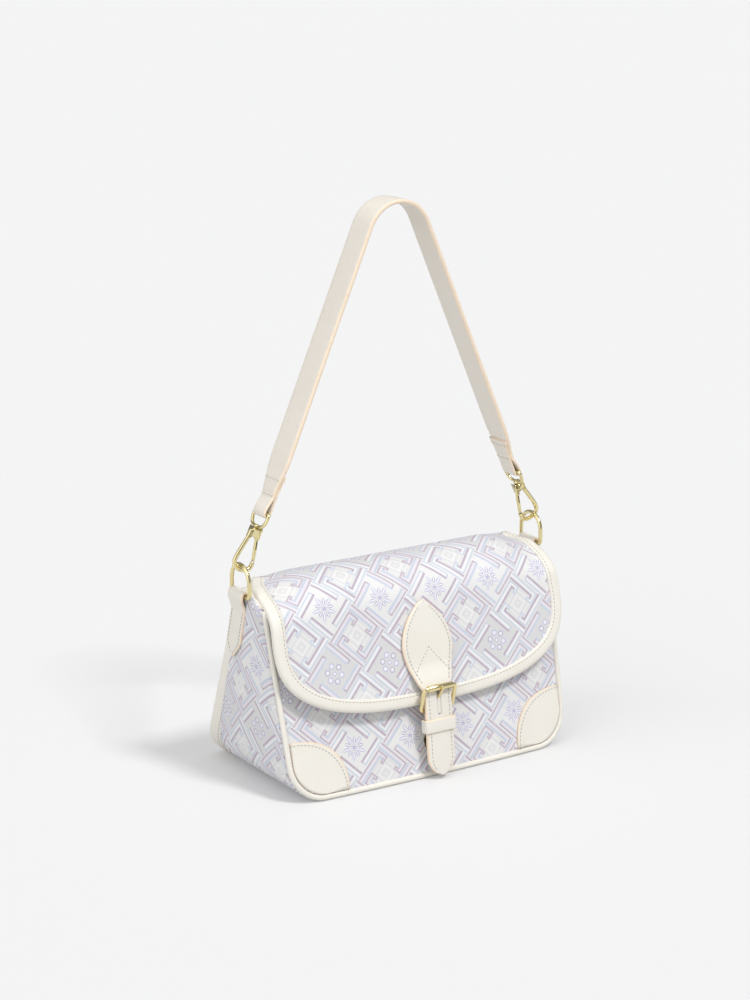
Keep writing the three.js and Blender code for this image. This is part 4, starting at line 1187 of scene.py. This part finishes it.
def strap_piece(name, z, out, half, thickness, materials, **shape):
    path = strap_centre(z, out)
    return ribbon(name, path, path_normals(path), X_AXIS, half, thickness, materials, **shape)


strap_z = np.concatenate([
    LEAF_TOP - np.linspace(0, 1.2, 6), np.linspace(LEAF_TOP - 2.2, TAIL_TIP + 0.6, 110), [TAIL_TIP + 0.15],
])
closure = strap_piece(
    "closure_strap_leather", strap_z, STRAP_THICKNESS / 2, strap_half(strap_z), STRAP_THICKNESS,
    leather_pair, crown=0.35,
)
slit = soft_block("slit_cutter", SLIT_CENTRE, np.eye(3), SLIT_SIZE, SLIT_ROUND, [leather])
cut = closure.modifiers.new("Slit", "BOOLEAN")
cut.operation = "DIFFERENCE"
cut.object = slit
settled(closure)
bpy.data.objects.remove(slit)
finish_piece(closure, "flap", "leather", "closure_strap")
strap_path = strap_centre(strap_z, STRAP_THICKNESS / 2)
strap_out = path_normals(strap_path)
strap_face = strap_path + strap_out * (STRAP_THICKNESS / 2 + 0.22)
leaf_part = (strap_z < LEAF_TOP - 5) & (strap_z > LEAF_SEAM_LOW)
tail_part = (strap_z < TAIL_SEAM_TOP) & (strap_z > TAIL_TIP + 5)
chevron = np.linspace(0, 1, 12)
chevron_z = LEAF_WIDEST - CHEVRON_FALL * chevron
for side, _ in SIDES:
    for part in (leaf_part, tail_part):
        seam = strap_face[part].copy()
        seam[:, 0] = side * np.maximum(strap_half(strap_z[part]) - STRAP_SEAM, 0.4)
        stitch("flap", seam, strap_out[part])
    chevron_line = strap_centre(chevron_z, STRAP_THICKNESS + 0.3)
    chevron_line[:, 0] = side * chevron * CHEVRON_HALF
    stitch("flap", chevron_line, path_normals(strap_centre(chevron_z, 0)))

backing_z = np.linspace(BACKING_TOP, TAIL_TIP + 3.5, 60)
backing_half = np.minimum(strap_half(backing_z) - 1.0, STRAP_HALF - 1)
backing = strap_piece(
    "strap_backing_leather", backing_z, BACKING_OUT, backing_half, BACKING_THICKNESS, leather_pair, crown=0.1
)
finish_piece(backing, "flap", "leather", "strap_backing")


# A loop with rounded corners round a middle, in a plane given by two directions: points and outward ways
def rounded_loop(middle, axis_a, axis_b, half_a, half_b, radius, steps):
    points, normals = [], []
    for corner, (sign_a, sign_b) in enumerate(((1, 1), (-1, 1), (-1, -1), (1, -1))):
        for angle in np.linspace(0, math.pi / 2, steps) + corner * math.pi / 2:
            out = math.cos(angle) * axis_a + math.sin(angle) * axis_b
            corner_middle = sign_a * (half_a - radius) * axis_a + sign_b * (half_b - radius) * axis_b
            points.append(middle + corner_middle + radius * out)
            normals.append(out)
    return np.array(points), np.array(normals)


keeper_middle = strap_centre(np.array([KEEPER_Z]), 0.3)[0]
keeper_path, keeper_out = rounded_loop(
    keeper_middle, X_AXIS, TAIL_OUT, STRAP_HALF + KEEPER_GAP, KEEPER_HALF_DEPTH, KEEPER_CORNER, 8
)
keeper = ribbon(
    "keeper_loop_leather", keeper_path, keeper_out, TAIL_UP, KEEPER_HEIGHT / 2, KEEPER_LEATHER, leather_pair,
    crown=0.15, edge=0.6, closed=True,
)
finish_piece(keeper, "flap", "leather", "keeper_loop")

# Buckle: a squared frame whose lower bar is behind the strap, and a prong
bar_half = np.linalg.norm(UPPER_BAR - LOWER_BAR) / 2
bar_up = (UPPER_BAR - LOWER_BAR) / (2 * bar_half)
bar_front = np.array([0, -bar_up[2], bar_up[1]])
frame_middle = (LOWER_BAR + UPPER_BAR) / 2
frame_path, _ = rounded_loop(frame_middle, X_AXIS, bar_up, BUCKLE_HALF, bar_half, BUCKLE_CORNER, 10)
frame_wire = tube("frame_wire", frame_path, BUCKLE_WIRE / 2, [gold], bar_front, closed=True)
barrel_path = UPPER_BAR + np.outer([-10.6, -10.5, -10.2, 10.2, 10.5, 10.6], X_AXIS)
barrel = tube("barrel", barrel_path, [1.7, 2.1, 2.3, 2.3, 2.1, 1.7], [gold], bar_front, sides=24)
buckle = joined("buckle_frame_metal", [frame_wire, barrel])
finish_piece(buckle, "flap", "gilt_metal", "buckle_frame")
eye_turn = np.linspace(0, 2 * math.pi, 28, endpoint=False)
eye_round = np.outer(np.cos(eye_turn), bar_front) + np.outer(np.sin(eye_turn), bar_up)
eye_path = LOWER_BAR + PRONG_EYE * eye_round
prong_eye = tube("prong_eye", eye_path, PRONG_EYE_WIRE / 2, [gold], X_AXIS, closed=True)
PRONG_LINE = [(-64.4, 52.4), (-65.4, 56.6), (-66.9, 60.4), (-70.0, 64.4), (-71.9, 67.2), (-72.0, 69.4)]
prong_share = np.linspace(0, 1, 26)
prong_line = eased(PRONG_LINE, np.linspace(0, 1, len(PRONG_LINE)), len(prong_share), 4)
prong_path = np.concatenate([np.zeros((len(prong_line), 1)), prong_line], axis=1)
prong_radius = PRONG_RADIUS - 0.35 * smoothstep(0.85, 1.0, prong_share)
prong_shank = tube("prong_shank", prong_path, prong_radius, [gold], X_AXIS)
prong = joined("buckle_prong_metal", [prong_eye, prong_shank])
finish_piece(prong, "prong", "gilt_metal", "buckle_prong")

# The strap's slit leaves a narrow tongue of leather, which the prong lifts.
tongue = strap_piece(
    "slit_tongue_leather", np.linspace(TONGUE_TOP, TONGUE_LOW, 24), STRAP_THICKNESS - TONGUE_SINK,
    TONGUE_HALF, TONGUE_THICKNESS, [leather, leather], crown=0.1, edge=0.3,
)
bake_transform(tongue)


# A tongue sewn on the gusset, its upper end turned round the ring's bar
def make_side_tab(side, label):
    loop_radius = RING_WIRE / 2 + TAB_GAP + TAB_LEATHER / 2
    loop_turn = np.linspace(-0.35 * math.pi, math.pi, 18)
    loop_out = np.stack([-np.cos(loop_turn), np.sin(loop_turn)], axis=1)
    loop = np.array([RING_X, RING_BAR_Z]) + loop_radius * loop_out
    share = np.linspace(0, 1, 26)[1:]
    fall_z = RING_BAR_Z - share * TAB_LENGTH
    rise = np.minimum(fall_z / TAB_SWELL_TOP, 1)
    swell = SIDE_BULGE * math.sin(math.pi * 0.45) * np.sin(math.pi * rise) ** 0.7
    settle = smoothstep(0.02, 0.3, share)
    fall_x = (RING_X + loop_radius) * (1 - settle) + (BODY_HALF + TAB_REST + swell) * settle
    x = np.concatenate([loop[:, 0], fall_x])
    z = np.concatenate([loop[:, 1], fall_z])
    out_x = np.concatenate([loop_out[:, 0], np.ones(len(share))])
    out_z = np.concatenate([loop_out[:, 1], np.zeros(len(share))])
    y = HARDWARE_Y + TAB_BACK + TAB_SLANT * np.clip(RING_BAR_Z - z, 0, None)
    path = np.stack([side * x, y, z], axis=1)
    normals = np.stack([side * out_x, np.zeros(len(z)), out_z], axis=1)
    low = np.arange(len(z)) >= len(loop)
    point_share = np.clip((z - (RING_BAR_Z - TAB_LENGTH)) / TAB_POINT, 0, 1)
    half = np.where(low, np.maximum(TAB_HALF * point_share**0.75, 0.8), TAB_HALF)
    node = "side_tab_" + label
    tab = ribbon(node + "_leather", path, normals, Y_AXIS, half, TAB_LEATHER, leather_pair, crown=0.2)
    finish_piece(tab, "bag", "leather", node)
    sewn = low & (z < RING_BAR_Z - TAB_POINT) & (z > RING_BAR_Z - TAB_LENGTH + 3)
    for edge_side, _ in SIDES:
        seam = path[sewn] + normals[sewn] * (TAB_LEATHER / 2 + 0.2)
        seam[:, 1] += edge_side * np.maximum(half[sewn] - TAB_SEAM, 0.3)
        stitch("bag", seam, normals[sewn])


# A half circle on two straight sides and a bar
def make_ring(side, label):
    corner_y, corner_z = RING_RADIUS - RING_CORNER, RING_BAR_Z + RING_CORNER
    ring = arc((0, RING_CENTRE_Z), RING_RADIUS, 0, math.pi, 30)
    ring += arc((-corner_y, corner_z), RING_CORNER, math.pi, 1.5 * math.pi, 8)
    ring += arc((corner_y, corner_z), RING_CORNER, 1.5 * math.pi, 2 * math.pi, 8)
    path = [(side * RING_X, HARDWARE_Y + y, z) for y, z in ring]
    node = "ring_" + label
    piece = tube(node + "_metal", path, RING_WIRE / 2, [gold], X_AXIS, closed=True)
    finish_piece(piece, node, "gilt_metal", node)


# The hook's frame: its bow, the way in to the bag's middle and the way up its leaning middle line
def hook_frame(side):
    bow = np.array([side * RING_X, HARDWARE_Y, BOW_Z])
    inward = np.array([-side * math.cos(HOOK_LEAN), 0, -math.sin(HOOK_LEAN)])
    upward = np.array([-side * math.sin(HOOK_LEAN), 0, math.cos(HOOK_LEAN)])
    return bow, inward, upward


# A drawn-out loop of wire below a block that holds the gate and the swivel's stem
def make_hook(side, label):
    bow, inward, upward = hook_frame(side)
    wire = [(-2.9, 29.0), (-3.6, 23.0), (-5.2, 16.5), (-6.8, 9.5)]
    for k in np.linspace(math.pi * 1.02, math.pi * 1.98, 24):
        wire.append((HOOK_HALF * math.cos(k), BOW_RISE + BOW_RISE * math.sin(k)))
    wire += [(7.25, 6.6), (7.15, 7.6)]
    wire = eased(wire, running_length(np.array(wire)), 70, 6)
    spine = tube("spine", bow + wire @ np.array([inward, upward]), HOOK_WIRE / 2, [gold], Y_AXIS)
    block = soft_block(
        "block", bow + upward * (BLOCK_LOW + HOOK_TOP) / 2, np.array([inward, upward, Y_AXIS]),
        (BLOCK_WIDTH, HOOK_TOP - BLOCK_LOW, BLOCK_DEPTH), BLOCK_ROUND, [gold],
    )
    node = "hook_" + label
    finish_piece(joined(node + "_metal", [spine, block]), node, "gilt_metal", node)


# A sprung arm across the hook's opening, with a dark strip on each face: painted shade of the slot in the
# gate
def make_gate(side, label):
    bow, inward, upward = hook_frame(side)
    top, tip = np.array([(2.7, 27.1), (7.18, 8.4)]) @ np.array([inward, upward])
    path = bow + top + np.linspace(0, 1, 12)[:, None] * (tip - top)
    arm_radius = GATE_RADIUS + 0.15 * np.sin(np.linspace(0, math.pi, 12))
    parts = [tube("arm", path, arm_radius, [gold, slot_shade], Y_AXIS)]
    for front, _ in SIDES:
        # Dark strips standing in for the slot's shade: painted shade
        shade_strip_path = path[2:8] + Y_AXIS * front * 0.95
        groove = tube("groove", shade_strip_path, [0.1, 0.55, 0.55, 0.55, 0.55, 0.1], [gold], Y_AXIS)
        groove.data.polygons.foreach_set("material_index", [1] * len(groove.data.polygons))
        parts.append(groove)
    node = "gate_" + label
    finish_piece(joined(node + "_metal", parts), node, "gilt_metal", node)


# A rounded bail, bowed at its foot, on a stem with a collar
def make_swivel_eye(side, label):
    bow, inward, upward = hook_frame(side)
    corner = (EYE_HALF - EYE_CORNER, EYE_BAR - EYE_CORNER)
    bail = arc(corner, EYE_CORNER, 0, math.pi / 2, 9)
    bail += [(-p, u) for p, u in reversed(bail)]
    knots = np.array([(-EYE_HALF, corner[1]), (-EYE_HALF, EYE_BASE), (-EYE_FOOT, EYE_BASE)])
    foot = []
    for k in np.linspace(0, 1, 14)[1:]:
        foot.append(np.array([(1 - k) ** 2, 2 * k * (1 - k), k**2]) @ knots)
    bail += foot + [(-p, u) for p, u in reversed(foot)]
    bail_path = bow + np.array(bail) @ np.array([Y_AXIS, upward])
    bail_piece = tube("bail", bail_path, EYE_WIRE / 2, [gold], inward, closed=True)
    stem_up = HOOK_TOP + np.array([-4.4, 0.4, 0.8, 1.4, 2.2, 3.0])
    stem_radius = [1.3, 1.3, 2.3, 2.6, 2.3, 1.2]
    stem_piece = tube("stem", bow + np.outer(stem_up, upward), stem_radius, [gold], Y_AXIS)
    node = "swivel_eye_" + label
    finish_piece(joined(node + "_metal", [bail_piece, stem_piece]), "handle", "gilt_metal", node)


for side, label in SIDES:
    make_side_tab(side, label)
    make_ring(side, label)
    make_hook(side, label)
    make_gate(side, label)
    make_swivel_eye(side, label)

# Handle: one strap over the arch, each end turned round an eye's bar and sewn down on the inner side
leg_out = np.array(LEG_NORMAL)
leg_up = np.array([-LEG_NORMAL[1], LEG_NORMAL[0]])
fold_centre = np.array([FOLD_X, FOLD_Z])
arch_centre = np.array([0, ARCH_Z])
arch_radius = float(leg_out @ (fold_centre - arch_centre))
leg_length = float(leg_up @ (arch_centre - fold_centre))
fold_reach = (EYE_WIRE + HANDLE_END_THICKNESS) / 2 + EYE_GAP
turnback_reach = (HANDLE_THICKNESS + HANDLE_END_THICKNESS) / 2


# A place beside the leg's middle line, at a height over the fold
def on_leg(offset, up):
    return fold_centre + leg_out * offset + leg_up * up


# Half the strap's width at a height over the fold
def handle_half(up):
    return HANDLE_END_HALF + (HANDLE_HALF - HANDLE_END_HALF) * float(smoothstep(*HANDLE_WIDENS, up))


# The strap's thickness at a height over the fold: its end is pared thin.
def handle_depth(up):
    whole = float(smoothstep(*HANDLE_PARED, up))
    return HANDLE_END_THICKNESS + (HANDLE_THICKNESS - HANDLE_END_THICKNESS) * whole


# How far the strap stands out from the leg's middle line: it clears the eye and is pinched at a seam.
def handle_offset(up):
    pinch = HANDLE_PINCH * math.exp(-(((up - LOWER_SEAM) / 2.2) ** 2))
    return fold_reach * (1 - float(smoothstep(1, LOWER_SEAM, up))) - pinch


# One half of the strap, from its sewn end to the arch's top: place, outward way, half width and thickness
half_strap = []
for up in np.linspace(TURNBACK, 0, 16, endpoint=False):
    rest = float(smoothstep(0, TURNBACK_RESTS, up))
    offset = -fold_reach * (1 - rest) - turnback_reach * rest
    half_strap.append((*on_leg(offset, up), *-leg_out, handle_half(up), HANDLE_END_THICKNESS))
for angle in np.linspace(math.pi, 0, 20):
    radial = math.cos(angle) * leg_out - math.sin(angle) * leg_up
    fold_point = fold_centre + fold_reach * radial
    half_strap.append((*fold_point, *radial, HANDLE_END_HALF, HANDLE_END_THICKNESS))
for up in np.concatenate([np.linspace(0, 36, 25)[1:], np.linspace(36, leg_length, 36)[1:]]):
    half_strap.append((*on_leg(handle_offset(up), up), *leg_out, handle_half(up), handle_depth(up)))
arch_start = math.atan2(LEG_NORMAL[1], LEG_NORMAL[0])
for angle in np.linspace(arch_start, math.pi / 2, 24)[1:]:
    radial = np.array([math.cos(angle), math.sin(angle)])
    half_strap.append((*arch_centre + arch_radius * radial, *radial, HANDLE_HALF, HANDLE_THICKNESS))
half_strap = np.array(half_strap)
x, z, nx, nz, wide, depth = np.concatenate([half_strap, half_strap[::-1][1:] * [-1, 1, -1, 1, 1, 1]]).T
handle = ribbon(
    "handle_strap_leather", np.stack([x, np.full(len(x), HARDWARE_Y), z], axis=1),
    np.stack([nx, np.zeros(len(x)), nz], axis=1), Y_AXIS, wide, depth, strap_pair, crown=0.2, edge=1.1,
)
finish_piece(handle, "handle", "leather", "handle_strap")
for side, _ in SIDES:
    for up in (LOWER_SEAM, UPPER_SEAM):
        outer_face = handle_offset(up) + handle_depth(up) / 2 + THREAD_LIFT
        inner_face = -turnback_reach - HANDLE_END_THICKNESS / 2 - THREAD_LIFT
        for offset, way in ((outer_face, 1), (inner_face, -1)):
            seam_x, seam_z = on_leg(offset, up)
            seam_y = HARDWARE_Y + (handle_half(up) - HANDLE_SEAM) * np.linspace(-1, 1, 9)
            seam = np.stack([np.full(9, side * seam_x), seam_y, np.full(9, seam_z)], axis=1)
            stitch("handle", seam, [side * way * leg_out[0], 0, way * leg_out[1]])

# Rigid pieces that keep their solids
for node in ("snap_stud", "snap_socket", "gate_pin_left", "gate_pin_right", "base_board"):
    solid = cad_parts[node]
    solid.data.materials.clear()
    solid.data.materials.append(board_face if node == "base_board" else gold)

# Stitches: a short thread placed along each remembered row; their sizes are in metres.
STITCH_SIZES = {"Pitch": 0.0028, "Length": 0.0021, "Thread": 0.0003}
stitch_tree = bpy.data.node_groups.new("Stitch rows", "GeometryNodeTree")
for way in ("INPUT", "OUTPUT"):
    stitch_tree.interface.new_socket("Geometry", in_out=way, socket_type="NodeSocketGeometry")
stitch_inputs = {}
for label, value in STITCH_SIZES.items():
    socket = stitch_tree.interface.new_socket(label, in_out="INPUT", socket_type=FLOAT)
    stitch_inputs[socket.identifier] = value
t = Tree(stitch_tree)
got = t.node("NodeGroupInput").outputs
curve = t.node("GeometryNodeMeshToCurve", {"Mesh": got["Geometry"]})
spaced = t.node("GeometryNodeResampleCurve", {"Curve": curve.outputs["Curve"]}, mode="LENGTH")
t.put(spaced.inputs["Length"], got["Pitch"])
along = t.node("GeometryNodeInputTangent").outputs["Tangent"]
up = t.node("GeometryNodeInputNamedAttribute", {"Name": "up"}, data_type="FLOAT_VECTOR").outputs["Attribute"]
rotation = t.node(
    "FunctionNodeAxesToRotation", {"Primary Axis": along, "Secondary Axis": up},
    primary_axis="X", secondary_axis="Z",
)
bead = t.node("GeometryNodeMeshUVSphere", {"Segments": 8, "Rings": 6, "Radius": 1.0})
stretch = t.node("ShaderNodeCombineXYZ", {
    "X": t.times(got["Length"], 0.5), "Y": got["Thread"], "Z": t.times(got["Thread"], 0.85),
})
beads = t.node("GeometryNodeInstanceOnPoints", {
    "Points": spaced.outputs["Curve"], "Instance": bead.outputs["Mesh"],
    "Rotation": rotation.outputs["Rotation"], "Scale": stretch.outputs["Vector"],
})
real = t.node("GeometryNodeRealizeInstances", {"Geometry": beads.outputs["Instances"]})
painted = t.node("GeometryNodeSetMaterial", {"Geometry": real.outputs["Geometry"], "Material": thread})
t.put(t.node("NodeGroupOutput").inputs["Geometry"], painted.outputs["Geometry"])

for body, seams in stitch_rows.items():
    points, ups, edges = [], [], []
    for row_points, row_normals in seams:
        start = len(points)
        points += [tuple(v) for v in row_points * MM]
        ups += [tuple(v) for v in row_normals]
        edges += [(start + k, start + k + 1) for k in range(len(row_points) - 1)]
    mesh = bpy.data.meshes.new("stitches_" + body)
    mesh.from_pydata(points, edges, [])
    mesh.attributes.new("up", "FLOAT_VECTOR", "POINT").data.foreach_set("vector", np.array(ups).ravel())
    threads = place("stitches_" + body, mesh)
    rows = threads.modifiers.new("Stitch rows", "NODES")
    rows.node_group = stitch_tree
    for identifier, value in stitch_inputs.items():
        rows[identifier] = value
    settled(threads)
    smooth(threads.data)
    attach(threads, body)


# Floor: white, a little brighter to the camera than to the light that it throws back on the bag

def grey(level):
    return (level, level, level, 1)


FLOOR_REACH = 12000.0
FLOOR_THROWN, FLOOR_SEEN, FLOOR_GLOW, FLOOR_GLOW_SHARE = 0.64, 0.735, 0.93, 0.16
floor_material = bpy.data.materials.new("floor_white")
floor_material.use_nodes = True
t = Tree(floor_material.node_tree)
floor_shader = floor_material.node_tree.nodes["Principled BSDF"]
floor_shader.inputs["Roughness"].default_value = 0.9
floor_shader.inputs["Specular IOR Level"].default_value = 0.0
rays = t.node("ShaderNodeLightPath").outputs
seen = t.any_of(rays["Is Camera Ray"], rays["Is Glossy Ray"], rays["Is Transmission Ray"])
t.put(floor_shader.inputs["Base Color"], t.mix(seen, grey(FLOOR_THROWN), grey(FLOOR_SEEN)))
glow = t.node("ShaderNodeEmission", {"Color": grey(FLOOR_GLOW), "Strength": 1.0})
floor_mix = t.node("ShaderNodeMixShader", {
    0: t.times(seen, FLOOR_GLOW_SHARE), 1: floor_shader.outputs["BSDF"], 2: glow.outputs["Emission"],
})
t.put(floor_material.node_tree.nodes["Material Output"].inputs["Surface"], floor_mix.outputs["Shader"])
floor_corners = [(FLOOR_REACH * x, FLOOR_REACH * y, 0) for x, y in ((-1, -1), (1, -1), (1, 1), (-1, 1))]
floor = link("floor", floor_corners, [(0, 1, 2, 3)], [floor_material])

# Light: a pale sky that is dimmer in reflections and brighter to the camera, and three soft suns
SKY_STRENGTH, SKY_REFLECTED_LESS, SKY_SEEN_MORE = 0.46, 0.1, 0.46
world = bpy.data.worlds.new("studio")
world.use_nodes = True
scene.world = world
t = Tree(world.node_tree)
sky_light = world.node_tree.nodes["Background"]
sky_light.inputs["Color"].default_value = (0.98, 0.985, 1.0, 1)
rays = t.node("ShaderNodeLightPath").outputs
dimmed = t.minus(SKY_STRENGTH, t.times(rays["Is Glossy Ray"], SKY_REFLECTED_LESS))
t.put(sky_light.inputs["Strength"], t.plus(dimmed, t.times(rays["Is Camera Ray"], SKY_SEEN_MORE)))


def soft_sun(name, towards, energy, spread):
    lamp = bpy.data.lights.new(name, "SUN")
    lamp.energy = energy
    lamp.angle = math.radians(spread)
    place(name, lamp).rotation_euler = Vector(towards).to_track_quat("-Z", "Y").to_euler()


soft_sun("key", (-0.172, 0.556, -0.813), 1.7, 11)
soft_sun("fill", (0.93, 0.12, -0.35), 1.1, 70)
soft_sun("top", (0.1, 0.15, -0.98), 0.66, 60)

# Camera
scene.view_settings.view_transform = "Standard"
camera_data = bpy.data.cameras.new("camera")
camera_data.sensor_width = 36
camera_data.lens = CAMERA_LENS
camera = place("camera", camera_data)
camera_axes = Matrix((CAMERA_RIGHT, CAMERA_UP, CAMERA_BACK)).transposed()
camera.matrix_world = Matrix.Translation(CAMERA_PLACE) @ camera_axes.to_4x4()
scene.camera = camera
